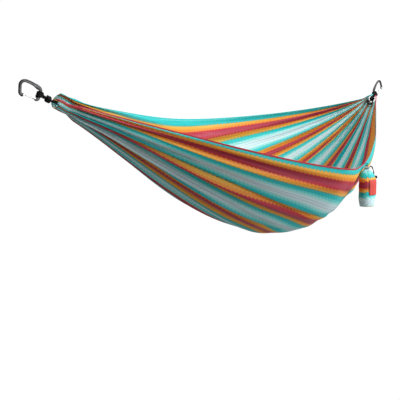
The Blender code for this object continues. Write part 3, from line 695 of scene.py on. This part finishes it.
def bedGrid():
    t = np.linspace(0, 1, bed["rows"] + 1)
    s = (0.45 * t + 0.275 * (1 - np.cos(math.pi * t)))[:, None]
    fine = np.linspace(-1, 1, 1601)
    middle = bedSurface(np.full(fine.size, 0.55), fine)
    girth = runAlong(middle)
    share = np.linspace(0, 1, bed["columns"] + 1)
    w = np.interp(share * girth[-1], girth, fine)[None, :]
    points = bedSurface(s, w)
    ahead = unit(np.gradient(points, axis=0))
    across = unit(np.gradient(points, axis=1))
    inward = unit(np.cross(across, ahead))
    # where each printed thread lies across the bed, in repeats
    left = np.interp(share, *zip(*bed["threadsLeft"]))[None, :]
    right = np.interp(share, *zip(*bed["threadsRight"]))[None, :]
    thread = left + (right - left) * smoothStep(s, 0.45, 0.80)
    tucked = 1 - smoothStep(s, 0.25, 0.45) + smoothStep(s, 0.60, 0.78)
    end = np.minimum(s, 1 - s) * gatherSpan
    push = 0.0 * thread
    girths = np.linalg.norm(np.diff(points, axis=1), axis=2).sum(1)[:, None]
    slack = np.sqrt(np.maximum((bed["girth"] / girths) ** 2 - 1, 0.0))
    for count, depth, at, reach, seed in bed["pleats"]:
        wander = 0.35 * np.sin(share * 9.1 * seed + seed) + 0.22 * np.sin(share * 23.7 * seed + 2.1 * seed)
        wander = wander[None, :] + 0.25 * np.sin(s * 6.0 + seed)
        # a fold is never deeper than the spare cloth in that part of the bed
        depth = np.minimum(depth, slack * girths / (4 * count) + 0.0015)
        sharpness = np.exp(-((end - at) / reach) ** 2)
        uneven = 0.65 + 0.35 * np.sin(share * 17.3 * seed + seed)[None, :]
        push = push + depth * sharpness * uneven * ridge(count * share[None, :] + wander)
    # two long tucks towards the ends, each hiding the threads next to it
    tuck, fold = bed["tuck"], bed["nearFold"]
    for band in bed["tucks"]:
        away = thread - band
        pinch = np.exp(-np.abs(away) / tuck["pinch"])
        side = np.where(s > 0.5, 1.0, -1.0)
        push = push + side * tuck["push"] * tucked * pinch * smoothStep(end, 0.0, 0.08)
        hidden = np.tanh(away / tuck["width"]) * np.exp(-(away / tuck["reach"]) ** 2)
        thread = thread + tuck["pull"] * tucked * hidden
    nearFold = np.exp(-np.abs(share - fold["at"])[None, :] / fold["width"])
    nearFold = nearFold * (1 - smoothStep(s, *fold["ends"]))
    push = push - fold["depth"] * nearFold * smoothStep(end, 0.0, 0.05)
    edge = np.minimum(share, 1 - share)[None, :]
    calm, calmFrom, calmTo = bed["calm"]
    push = push * smoothStep(edge, 0.0, 0.02) * (calm + (1 - calm) * smoothStep(end, calmFrom, calmTo))
    # the wall behind the sack only folds away from it
    behind = np.exp(-((points[..., 0] - sackPlace.x) / bed["besideSack"]) ** 4)
    behind = behind * smoothStep(share, 0.66, 0.76)[None, :]
    push = push * (1 - behind) + np.maximum(push, 0.0) * 0.6 * behind
    return points + inward * push[..., None], thread


def makeBed(material):
    points, thread = bedGrid()
    along = np.linalg.norm(np.diff(points, axis=0), axis=2)
    run = np.concatenate([[0], np.cumsum(along.mean(1))])
    piece = loft("bed_sheet", points, material, run, thread * cloth["repeat"], around=False)
    wall = piece.modifiers.new("thickness", "SOLIDIFY")
    wall.thickness = bed["thickness"]
    wall.offset = 0.0
    register(piece, "hammock", "printed_cloth", "bed_cloth")

    # folded hems along both sides, each with two rows of stitches
    hems = []
    for label, column, inner, shade, thread in (("far", 0, 6, 0.24, finishes["thread"]),
                                                ("near", -1, -7, 0.55, finishes["redThread"])):
        edge = points[:, column]
        inwards = unit(points[:, inner] - edge)
        ahead = unit(np.gradient(edge, axis=0))
        inwards = unit(inwards - ahead * (inwards * ahead).sum(1, keepdims=True))
        lift = np.cross(ahead, inwards)
        angle = np.linspace(0, 2 * math.pi, bed["hemSides"], endpoint=False)
        half, thick = bed["hemWidth"] / 2, bed["hemThickness"] / 2
        flat = boxy(np.cos(angle), 0.45) * half + half * 0.86
        tall = boxy(np.sin(angle), 0.7) * thick
        rings = edge[:, None] + inwards[:, None] * flat[None, :, None] + lift[:, None] * tall[None, :, None]
        runs = runAlong(edge)
        offset = np.append(flat, flat[0]) * 0.25 + shade * cloth["repeat"]
        hem = loft("bed_hem_" + label, rings, material, runs, offset)
        register(hem, "hammock", "printed_cloth", "bed_cloth")
        rows = [edge + inwards * half * 1.62 + lift * side * (thick + 0.0001) for side in (-1, 1)]
        seam = layStitches("hem_stitches_" + label, rows, thread, *bed["hemStitch"])
        register(seam, "hammock", "printed_cloth", "bed_cloth")
        hems += [hem, seam]
    print("bed made, threads %.3f to %.3f m" % (along.sum(0).min(), along.sum(0).max()))


makeBed(finishes["cloth"])

# rope loops, with a knot and a whipping behind each hitch
rope = {"radius": 0.004, "gap": 0.0003, "arcRadius": 0.0205, "arcInset": 0.012, "turns": 2.5,
        "clearance": 0.0005,
        "behind": 0.019, "knotTurns": 3, "knotSpacing": 0.0025, "whipping": 0.010, "wall": 0.003,
        "barWidth": 0.0135, "barDepth": 0.010, "barChamfer": 0.0027, "spacing": 0.0011,
        "braid": (16, 0.011, 0.0003), "knotBraid": (16, 0.011, 0.00028),
        "girth": 0.0256, "knotGirth": 0.0232, "whippingRadius": 0.0010, "whippingGirth": 0.0063}
knotRope = rope["radius"] * 0.9


def knotStretch(reach):
    turns = (2 * knotRope + rope["gap"]) * rope["knotTurns"]
    finish = reach - rope["behind"] - rope["whipping"] - rope["knotSpacing"] - knotRope
    return finish - turns, finish


def ropeRoute(side):
    reach, place = hitchReach[side], places[side]
    sign = -1 if side == "left" else 1
    radius, gap = rope["radius"], rope["gap"]
    corner = math.hypot(rope["barWidth"] / 2, rope["barDepth"] / 2 - rope["barChamfer"])
    around = corner + rope["clearance"] + radius
    halfHitch = (radius + gap) * rope["turns"]
    leg = radius + gap
    top = reach - rope["behind"]
    knotStart, knotEnd = knotStretch(reach)
    straightFrom = knotStart - knotRope - 0.001
    angle = math.pi / 2 - 2 * math.pi * rope["turns"] * np.linspace(0, 1, 61)
    hitch = np.stack([reach + around * np.cos(angle), halfHitch * np.linspace(-1, 1, 61),
                      around * np.sin(angle)], -1)

    def legPoints(way):
        return [(reach - around * 0.62, -way * halfHitch * 0.85, way * around * 0.96),
                (reach - around * 1.15, -way * halfHitch * 0.25, way * leg * 1.35),
                (top + 0.002, 0, way * leg), (top - rope["whipping"] / 2, 0, way * leg),
                (knotEnd, 0, way * leg), (straightFrom, 0, way * leg),
                (straightFrom - 0.0025, 0, way * leg * 1.3),
                (straightFrom - 0.0070, 0.002, way * rope["arcRadius"] * 0.6),
                (-0.006, 0.006, way * rope["arcRadius"] * 0.95)]

    bend = np.linspace(0, math.pi, 17)
    arc = np.stack([np.full(17, -sign * rope["arcInset"]), sign * rope["arcRadius"] * np.cos(bend),
                    -rope["arcRadius"] * np.sin(bend)], -1)
    arc = arc @ np.array(place.to_3x3())
    first = smoothRoute([hitch[0]] + legPoints(1) + [arc[-1]], 0.002)
    last = smoothRoute([arc[0]] + legPoints(-1)[::-1] + [hitch[-1]], 0.002)
    return np.concatenate([hitch[::-1][:-1], first, arc[::-1][1:-1], last[:-1]])


def makeTube(name, finish, route, radius, sides, girth, place, cyclic=False, braid=None):
    rings = transformed(roundRings(route, radius, sides, cyclic=cyclic, braid=braid), place)
    return loft(name, rings, finishes[finish], vAround=np.linspace(0, girth, sides + 1), cyclic=cyclic)


def makeRope(side):
    place, reach = places[side], hitchReach[side]
    route = evenRoute(ropeRoute(side), rope["spacing"])[:-1]
    loop = makeTube(side + "_rope", "rope", route, rope["radius"], 24, rope["girth"], place,
                    cyclic=True, braid=rope["braid"])
    register(loop, "hammock", "black_rope", side + "_rope_loop")

    start, finish = knotStretch(reach)
    radius = 2 * (rope["radius"] + rope["gap"]) + knotRope
    turn = np.linspace(0, 1, 150)
    angle = 2 * math.pi * rope["knotTurns"] * turn
    lumpy = radius * (1 + 0.03 * np.sin(angle * 1.37 + 0.8))
    route = np.stack([start + (finish - start) * turn, lumpy * np.cos(angle), lumpy * np.sin(angle)], -1)
    route = evenRoute(route, rope["spacing"])
    start = np.minimum(1, np.arange(len(route)) / 5)
    taper = knotRope * np.minimum(1, 0.35 + 0.65 * np.sin(start * math.pi / 2))
    taper = np.minimum(taper, taper[::-1])
    knot = makeTube(side + "_knot", "rope", route, taper, 20, rope["knotGirth"], place,
                    braid=rope["knotBraid"])
    register(knot, "hammock", "black_rope", side + "_rope_knot")

    # whipping: a thin cord wound tightly round both legs, over a plain core
    leg = rope["radius"] + rope["gap"]
    middle = reach - rope["behind"] - rope["whipping"] / 2
    thin = rope["whippingRadius"]

    def stadium(angle, radius):
        spread = leg * boxy(np.sin(angle), 0.3)
        return np.stack([0 * angle, radius * np.cos(angle), radius * np.sin(angle) + spread], -1)

    turns = round((rope["whipping"] - 2 * thin) / (2 * thin))
    angle = np.linspace(0, 2 * math.pi * turns, turns * 40)
    coil = stadium(angle, rope["radius"] + rope["wall"] - thin)
    climb = (rope["whipping"] - 2 * thin) * np.linspace(0, 1, len(angle))
    coil[:, 0] = middle - rope["whipping"] / 2 + thin + climb
    outer = makeTube(side + "_whipping", "whipping", evenRoute(coil, 0.0009), thin, 8,
                     rope["whippingGirth"], place)
    register(outer, "hammock", "whipping_cord", side + "_rope_whipping")
    angle = np.linspace(0, 2 * math.pi, 48, endpoint=False)
    core = []
    for shift, radius in ((-0.45, 0.0046), (-0.45, 0.0058), (0.45, 0.0058), (0.45, 0.0046)):
        ring = stadium(angle, radius)
        ring[:, 0] = middle + shift * rope["whipping"]
        core.append(ring)
    rings = transformed(np.array(core), place)
    inner = loft(side + "_whipping_core", rings, finishes["whipping"], cyclic=True)
    register(inner, "hammock", "whipping_cord", side + "_rope_whipping")


for side in ("left", "right"):
    makeRope(side)
print("ropes made")

# carabiners
frameBar = {"half": 0.0250, "spine": 0.0270, "nose": 0.0345, "length": 0.111, "noseReach": 0.0890,
            "noseTip": 0.072, "tailTip": 0.015, "hinge": 0.0095, "catch": 0.0765,
            "radii": (0.0100, 0.0120, 0.022, 0.014), "bow": 0.0035, "shoulder": 0.42,
            "groove": 0.0016, "grooveHalf": 0.0026, "fade": 0.02, "spineShare": (0.33, 0.80),
            "section": 0.62, "shoulderReach": 0.014, "endRounding": 0.0035,
            "bowFrom": 0.012, "bowRest": 0.034,
            "wire": 0.0016, "wireClearance": 0.0004, "wireBend": 0.003}


def roundedRoute(corners, radii, steps):
    corners = [np.array(corner, float) for corner in corners]
    route = [corners[0]]
    for before, corner, after, radius in zip(corners, corners[1:], corners[2:], radii):
        back, ahead = unit(before - corner), unit(after - corner)
        half = math.acos(np.dot(back, ahead)) / 2
        centre = corner + unit(back + ahead) * radius / math.sin(half)
        start = corner + back * radius / math.tan(half) - centre
        finish = corner + ahead * radius / math.tan(half) - centre
        sweep = math.pi - 2 * half
        for step in range(steps + 1):
            share = step / steps
            arm = (start * math.sin((1 - share) * sweep) + finish * math.sin(share * sweep)) / math.sin(sweep)
            route.append(centre + arm)
    route.append(corners[-1])
    return np.array(route)


def barSection(groove):
    # rounded bar with a forged hollow down both of its flat sides
    angle = np.linspace(0, 2 * math.pi, 40, endpoint=False)
    power = frameBar["section"]
    wide = boxy(np.cos(angle), power) * rope["barWidth"] / 2
    deep = boxy(np.sin(angle), power) * rope["barDepth"] / 2
    hollow = groove * np.exp(-(wide / frameBar["grooveHalf"]) ** 4)
    return wide, deep - np.sign(deep) * hollow * (np.abs(deep) > rope["barDepth"] * 0.3)


def makeCarabiner(side):
    place = places[side] @ Matrix.Translation((hitchReach[side], 0, 0))
    half = frameBar["half"]
    corners = [(frameBar["tailTip"], -half, 0), (0, -half, 0), (0, half, 0),
               (frameBar["length"], frameBar["spine"], 0), (frameBar["noseReach"], -frameBar["nose"], 0),
               (frameBar["noseTip"], -frameBar["nose"], 0)]
    route = evenRoute(roundedRoute(corners, frameBar["radii"], 14), 0.0013)
    spine = (route[:, 0] - frameBar["bowFrom"]) / (frameBar["length"] - frameBar["bowRest"])
    spine = np.clip(spine, 0, 1) * (route[:, 1] > 0)
    route[:, 1] += frameBar["bow"] * np.sin(math.pi * spine)
    runs = runAlong(route)
    ahead, out, up = pathFrames(route, normal=(0.0, 0.0, 1.0))
    spineStart, spineEnd = (runs[-1] * share for share in frameBar["spineShare"])
    shoulder = 1 + frameBar["shoulder"] * np.exp(-((runs - spineStart) / frameBar["shoulderReach"]) ** 2)
    near = np.minimum(runs, runs[-1] - runs)
    scale = np.sqrt(np.clip(1 - (1 - np.clip(near / frameBar["endRounding"], 0, 1)) ** 2, 0.12, 1))
    fade = frameBar["fade"]
    begun, ended = (smoothStep(runs, start, start + fade) for start in (spineStart, spineEnd))
    forged = begun * (1 - ended)
    rings = []
    for point, sideways, above, size, stout, groove in zip(route, out, up, scale, shoulder,
                                                           forged * frameBar["groove"]):
        wide, deep = barSection(groove)
        rings.append(point + np.outer(wide * size * stout, sideways) + np.outer(deep * size, above))
    rings = transformed(np.array(rings), place)
    bar = loft(side + "_carabiner_bar", rings, finishes["alloy"], runs)
    tools = []
    hingeSpot = (frameBar["hinge"], -half, 0)
    catchSpot = (frameBar["catch"], rope["barWidth"] / 2 - frameBar["nose"], 0)
    for spot, radius in ((hingeSpot, frameBar["wire"] + frameBar["wireClearance"]),
                         (catchSpot, frameBar["wire"] + 0.0006)):
        bm = bmesh.new()
        bmesh.ops.create_cone(bm, cap_ends=True, segments=32, radius1=radius, radius2=radius,
                              depth=rope["barDepth"] * 2, matrix=place @ Matrix.Translation(spot))
        tools.append(addCutter(bar, bm))
    bar = finishCut(bar, tools, 50)
    register(bar, side + "_carabiner", "black_alloy", side + "_carabiner_frame")

    length = frameBar["catch"] - frameBar["hinge"]
    catch = frameBar["half"] - frameBar["nose"] + rope["barWidth"] / 2
    apart = rope["barDepth"] / 2 + frameBar["wire"] + frameBar["wireClearance"]
    corners = [(0, 0, 0.0012), (0, 0, apart), (length, catch, apart), (length, catch, -apart), (0, 0, -apart),
               (0, 0, -0.0012)]
    route = evenRoute(roundedRoute(corners, (frameBar["wireBend"],) * 4, 10), 0.001)
    hinge = place @ Matrix.Translation((frameBar["hinge"], -frameBar["half"], 0))
    rings = transformed(roundRings(route, frameBar["wire"], 16), hinge)
    gate = loft(side + "_wire_gate", rings, finishes["wire"])
    register(gate, side + "_gate", "steel_wire", side + "_gate_wire")


for side in ("left", "right"):
    makeCarabiner(side)
print("carabiners made")

# stuff sack
sack = {"halfWidth": 0.062, "halfThickness": 0.042, "height": 0.211, "lean": 0.008, "hang": 0.009,
        "neck": 0.010, "rows": 120, "columns": 160, "pleats": 22, "pleatDepth": 0.0030,
        "label": (0.066, 0.083), "labelDrop": 0.108, "labelCorner": 0.004, "labelLift": 0.0009,
        "labelPuff": 0.0005, "labelThickness": 0.0011, "labelInset": 0.0035, "labelStitchLift": 0.0022,
        "cordRadius": 0.0018, "touch": 0.0003}
neckAt = 1 - sack["neck"] / sack["height"]


def sackSwell(t):
    low = np.minimum(1.0, t / 0.30)
    high = np.clip((neckAt - t) / 0.34, 0.0, 1.0)
    body = (0.78 + 0.22 * np.sin(low * math.pi / 2)) * (0.16 + 0.84 * np.sin(high * math.pi / 2) ** 0.85)
    ruffle = 0.16 + 0.10 * np.sin(np.clip((t - neckAt) / (1 - neckAt), 0, 1) * math.pi / 2)
    return np.where(t <= neckAt, body, ruffle)


def sackPoints(angle, t, offset=0.0, detail=True):
    swell = sackSwell(t)
    halfY = sack["halfThickness"] * swell / (0.45 + 0.55 * np.minimum(1.0, swell)) * 0.95
    lean = sack["lean"] * np.minimum(1.0, (1 - t) / 0.4)
    grow = offset + 0 * angle
    if detail:
        shoulder = np.exp(-np.maximum(neckAt - t, 0) / 0.16) * np.minimum(1, swell / 0.35)
        folds = ridge(sack["pleats"] / (2 * math.pi) * angle + 0.35 * np.sin(3 * angle + 1.0) + 0.5)
        grow = grow + sack["pleatDepth"] * shoulder * (folds - 0.6)
        soft = np.sin(3 * angle + 9 * t) * np.sin(11 * t + 1.3) + 0.6 * np.sin(5 * angle - 17 * t + 2.0)
        grow = grow - 0.0016 * (1 + 0.6 * soft) * np.sin(np.clip(t / neckAt, 0, 1) * math.pi)
        grow = grow - 0.0012 * np.exp(-((t - 0.03) / 0.02) ** 2)
    return np.stack([(sack["halfWidth"] * swell + grow) * np.cos(angle),
                     (halfY + grow) * np.sin(angle) - lean,
                     -sack["hang"] - sack["height"] * (1 - t) + 0 * angle], -1) + np.array(sackPlace)


def cornerPlaces(piece, rings):
    corner = np.empty(len(piece.data.loops), dtype=np.int32)
    piece.data.loops.foreach_get("vertex_index", corner)
    return rings.reshape(-1, 3)[corner]


def setUv(piece, across, up):
    piece.data.uv_layers["UVMap"].data.foreach_set("uv", np.stack([across, up], -1).ravel())


def makeSack():
    t = np.linspace(0, 1, sack["rows"]) ** 0.92
    angle = np.linspace(0, 2 * math.pi, sack["columns"], endpoint=False)
    skin = sackPoints(angle[None, :], t[:, None])
    # the ruffle turns in on itself and closes at the drawn neck
    inside = [sackPoints(angle[None, :], np.array([[1.0]]), -0.0022)[0] - (0, 0, 0.0012)]
    for level, shrink in ((0.6, 0.55), (0.25, 0.30), (0.05, 0.12)):
        ring = sackPoints(angle[None, :], np.array([[neckAt + (1 - neckAt) * level]]), detail=False)[0]
        middle = ring.mean(0)
        inside.append(middle + (ring - middle) * shrink)
    tuck = skin[0].mean(0) + (skin[0] - skin[0].mean(0)) * 0.965 + (0, 0, 0.0006)
    rings = np.concatenate([tuck[None], skin, np.array(inside)])
    rings = rings[:, ::-1]
    piece = loft("sack_skin", rings, finishes["sackCloth"])
    centre = cornerPlaces(piece, rings) - np.array(sackPlace)
    turn = np.arctan2(centre[:, 1] + sack["lean"], centre[:, 0]) / (2 * math.pi) * 0.34
    setUv(piece, turn, centre[:, 2])
    register(piece, "sack", "sack_cloth", "sack_body")

    # oval base panel with a bound seam
    rim = sackPoints(angle, np.zeros(angle.size), detail=False)
    middle = rim.mean(0)
    rings = []
    for share, drop in ((0.97, 0.0), (0.985, -0.0008), (0.965, -0.0017),
                        (0.80, -0.0016), (0.5, -0.0014), (0.15, -0.0013)):
        rings.append(middle + (rim - middle) * share + (0, 0, drop - sack["touch"]))
    base = loft("sack_base_panel", np.array(rings)[:, ::-1], finishes["sackCloth"])
    place = cornerPlaces(base, np.array(rings)[:, ::-1]) - middle
    setUv(base, place[:, 0], place[:, 1] * 0.1 + 0.119)
    register(base, "sack", "sack_base_cloth", "sack_base")
    seam = [sackPoints(angle, np.full(angle.size, 0.022), 0.0004)]
    stitches = layStitches("sack_base_stitches", seam, finishes["thread"], 0.0046, 0.0032, 0.0007)
    register(stitches, "sack", "sack_cloth", "sack_body")
    hem = [sackPoints(angle, np.full(angle.size, neckAt - 0.012), 0.0005),
           sackPoints(angle, np.full(angle.size, neckAt + 0.016), 0.0005)]
    channel = layStitches("sack_channel_stitches", hem, finishes["thread"], 0.0040, 0.0026, 0.0006)
    register(channel, "sack", "sack_cloth", "sack_body")


def labelPoints(x, y, offset):
    drop = sack["labelDrop"] - y
    t = 1 - drop / sack["height"]
    width = sack["halfWidth"] * sackSwell(t)
    angle = -np.arccos(np.clip(x / width, -1, 1))
    return sackPoints(angle, t, offset, detail=False)


def makeLabel():
    wide, tall = sack["label"]
    columns, rows, corner = 40, 48, sack["labelCorner"]
    x, y = np.meshgrid(np.linspace(-wide / 2, wide / 2, columns), np.linspace(-tall / 2, tall / 2, rows))
    # round corners: pull the outermost points in
    overX = np.maximum(np.abs(x) - (wide / 2 - corner), 0)
    overY = np.maximum(np.abs(y) - (tall / 2 - corner), 0)
    reach = np.hypot(overX, overY)
    pull = np.where(reach > corner, corner / np.maximum(reach, 1e-9), 1.0)
    x = np.sign(x) * (np.minimum(np.abs(x), wide / 2 - corner) + overX * pull)
    y = np.sign(y) * (np.minimum(np.abs(y), tall / 2 - corner) + overY * pull)
    edge = np.minimum(np.minimum(wide / 2 - np.abs(x), tall / 2 - np.abs(y)) / corner, 1)
    points = labelPoints(x, y, sack["labelLift"] + sack["labelPuff"] * np.sin(edge * math.pi / 2))
    piece = loft("sack_patch", points, finishes["label"], y[:, 0], x[0], around=False)
    wall = piece.modifiers.new("thickness", "SOLIDIFY")
    wall.thickness = sack["labelThickness"]
    wall.offset = 0.0
    register(piece, "sack", "label_cloth", "sack_label")
    halfX, halfY = wide / 2 - sack["labelInset"], tall / 2 - sack["labelInset"]
    corners = [(-halfX, -halfY), (halfX, -halfY), (halfX, halfY), (-halfX, halfY), (-halfX, -halfY)]
    track = []
    for (x0, y0), (x1, y1) in zip(corners, corners[1:]):
        share = np.linspace(0, 1, 24)
        track.append(labelPoints(x0 + (x1 - x0) * share, y0 + (y1 - y0) * share, sack["labelStitchLift"]))
    stitches = layStitches("sack_patch_stitches", [np.concatenate(track)], finishes["redThread"],
                           0.0032, 0.0022, 0.0006)
    register(stitches, "sack", "label_cloth", "sack_label")


makeSack()
makeLabel()
print("sack made")

# small cords: the hem's tab, the sack's hanger and the drawcord
lock = {"line": sack["halfWidth"] + 0.012, "drop": 0.050, "endKnot": 0.090, "bore": 0.0066, "radius": 0.0092,
        "half": 0.0125, "floor": 0.010, "hole": (0.0084, 0.0043), "holeAt": -0.004, "travel": 0.004,
        "buttonRadius": 0.0080, "buttonFrom": -0.0225, "buttonTo": -0.0175, "plungerEnd": 0.001,
        "springRadius": 0.0046, "springWire": 0.0004, "springTurns": 5}
pitch = 2 * sack["cordRadius"] + 0.0006
hemPoint = sackPlace - Vector((0, -0.0165, -0.0120))


def makeCord(name, route, radius, body, slot, nodes, sides=14, braid=(12, 0.0060, 0.00014), place=(0, 0, 0)):
    route = evenRoute(route, radius * 0.42)
    run = np.arange(len(route))
    taper = np.sqrt(np.clip(1 - (1 - np.clip(run / 3, 0, 1)) ** 2, 0.25, 1))
    taper = np.minimum(taper, taper[::-1]) * radius
    rings = roundRings(route, taper, sides, braid=braid) + np.array(place)
    around = np.linspace(0, 2 * math.pi * radius, sides + 1)
    piece = loft(name, rings, finishes["cord"], vAround=around)
    return register(piece, body, slot, *nodes), route + np.array(place)


tabRoute = smoothRoute([(0, -0.0032, -0.0005), (0, -0.0110, -0.0010), (0, -0.0195, -0.0032),
                        (0, -0.0238, -0.0095), (0, -0.0205, -0.0160), (0, -0.0150, -0.0168),
                        (0, -0.0100, -0.0135), (0, -0.0060, -0.0105), (0, -0.0020, -0.0085)], 0.001)
makeCord("hem_loop", tabRoute, 0.0016, "hammock", "black_cord", ["hem_tab"], place=hemPoint)
foot = -sack["hang"] + sack["touch"]
hangerRoute = smoothRoute([(-0.008, 0, foot), (-0.0078, 0, foot * 0.45), (-0.0045, 0, -0.0012), (0, 0, 0),
                           (0.0045, 0, -0.0012), (0.0078, 0, foot * 0.45), (0.008, 0, foot)], 0.001)
makeCord("sack_loop", hangerRoute, 0.0015, "sack", "black_cord", ["sack_hanger"], place=sackPlace)


def strandRoute(sign):
    lane = sign * pitch / 2
    neck = -sack["hang"] - sack["neck"]
    line = lock["line"] + lane
    return [(0.0152, lane, neck), (0.0220, lane, neck + 0.0010), (0.0315, lane, neck + 0.008),
            (0.0440, lane, neck + 0.011), (0.0560, lane, neck + 0.003),
            (line - 0.008, lane * 0.7, neck - 0.011),
            (line - 0.002, 0, neck - 0.025), (line, 0, neck - 0.034), (line, 0, neck - 0.042),
            (line, 0, neck - 0.070), (line, 0, neck - 0.095), (line + lane * 1.5, 0, neck - 0.107),
            (line + lane * 2.8, 0, neck - 0.118)]


def turnedShape(name, profile, centre, cyclic=False):
    angle = np.linspace(0, 2 * math.pi, 48, endpoint=False)
    rings = np.array([[(rad * math.cos(a), y, rad * math.sin(a)) for a in angle] for rad, y in profile])
    return loft(name, rings + np.array(centre), finishes["plastic"], cyclic=cyclic)


def makeLock():
    # the barrel's axis is Y and its button faces -Y
    centre = Vector((lock["line"], -lock["holeAt"], -sack["hang"] - sack["neck"] - lock["drop"])) + sackPlace

    r, half, bore, floor = lock["radius"], lock["half"], lock["bore"], lock["floor"]
    outer = [(bore, -half + 0.0006), (bore + 0.0005, -half), (r - 0.0012, -half), (r, -half + 0.0012)]
    for groove in (-0.0095, 0.0015, 0.0045, 0.0075):
        outer += [(r, groove - 0.0006), (r - 0.0005, groove - 0.0003),
                  (r - 0.0005, groove + 0.0003), (r, groove + 0.0006)]
    outer += [(r, half - 0.0022), (r - 0.0008, half - 0.0006), (r - 0.0024, half), (0.0006, half)]
    inner = [(0.0006, floor), (bore - 0.0005, floor), (bore, floor - 0.0006)]
    barrel = turnedShape("lock_barrel", outer + inner, centre, cyclic=True)
    barrel = cutSlot(barrel, (*lock["hole"], r * 3), centre + Vector((0, lock["holeAt"], 0)))
    register(barrel, "cord_lock", "black_plastic", "cord_lock_barrel")

    plunger = bore - sack["touch"]
    head, top, end = lock["buttonRadius"], lock["buttonFrom"], lock["plungerEnd"]
    profile = [(0.0010, top + 0.0008), (head * 0.45, top + 0.0007), (head * 0.72, top), (head - 0.0008, top),
               (head, top + 0.0008), (head, lock["buttonTo"] - 0.0008), (head - 0.0008, lock["buttonTo"]),
               (plunger, lock["buttonTo"]), (plunger, end - 0.0006), (plunger - 0.0006, end), (0.0010, end)]
    button = turnedShape("lock_plunger", profile, centre)
    slotTo = lock["holeAt"] + lock["hole"][1] / 2
    size = lock["hole"][1] + lock["travel"]
    button = cutSlot(button, (lock["hole"][0], size, r * 3), centre + Vector((0, slotTo - size / 2, 0)))
    register(button, "lock_button", "black_plastic", "cord_lock_button")

    start = end + sack["touch"] + lock["springWire"]
    finish = floor - sack["touch"] - lock["springWire"]
    turn = np.linspace(0, 1, 300)
    angle = 2 * math.pi * lock["springTurns"] * turn
    lead = start + (finish - start) * turn
    route = np.stack([lock["springRadius"] * np.cos(angle), lead, lock["springRadius"] * np.sin(angle)], -1)
    rings = roundRings(route, lock["springWire"], 8) + np.array(centre)
    spring = loft("lock_spring", rings, finishes["spring"])
    register(spring, "cord_lock", "spring_steel", "cord_lock_spring")
    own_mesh(spring)
    return barrel, button, spring


def cutSlot(item, size, place):
    bm = bmesh.new()
    bmesh.ops.create_cube(bm, size=1.0)
    bmesh.ops.scale(bm, vec=size, verts=bm.verts)
    bmesh.ops.translate(bm, vec=place, verts=bm.verts)
    return finishCut(item, [addCutter(item, bm)], 40)


def makeDrawcord(lockPieces):
    wrap = np.linspace(0, 1, 90)
    angle = 2 * math.pi * 2.2 * wrap
    major = pitch / 2 + sack["cordRadius"] + sack["touch"] + 0.0017
    height = 0.0052 * (wrap - 0.5)
    route = np.stack([major * np.cos(angle) * 1.05, major * np.sin(angle) * 0.92, height], -1)
    spot = np.array(sackPlace) + (lock["line"], 0, -sack["hang"] - sack["neck"] - lock["endKnot"])
    knot, _ = makeCord("drawcord_wrap", route, 0.0017, "sack", "black_cord", ["drawcord_knot"], place=spot)
    for label, sign in (("back", 1), ("front", -1)):
        route = smoothRoute(strandRoute(sign), 0.0015)
        strand, path = makeCord("drawcord_strand_" + label, route, sack["cordRadius"], "sack", "black_cord",
                                ["drawcord_" + label], sides=16, place=sackPlace)


makeDrawcord(makeLock())
print("cords and lock made")
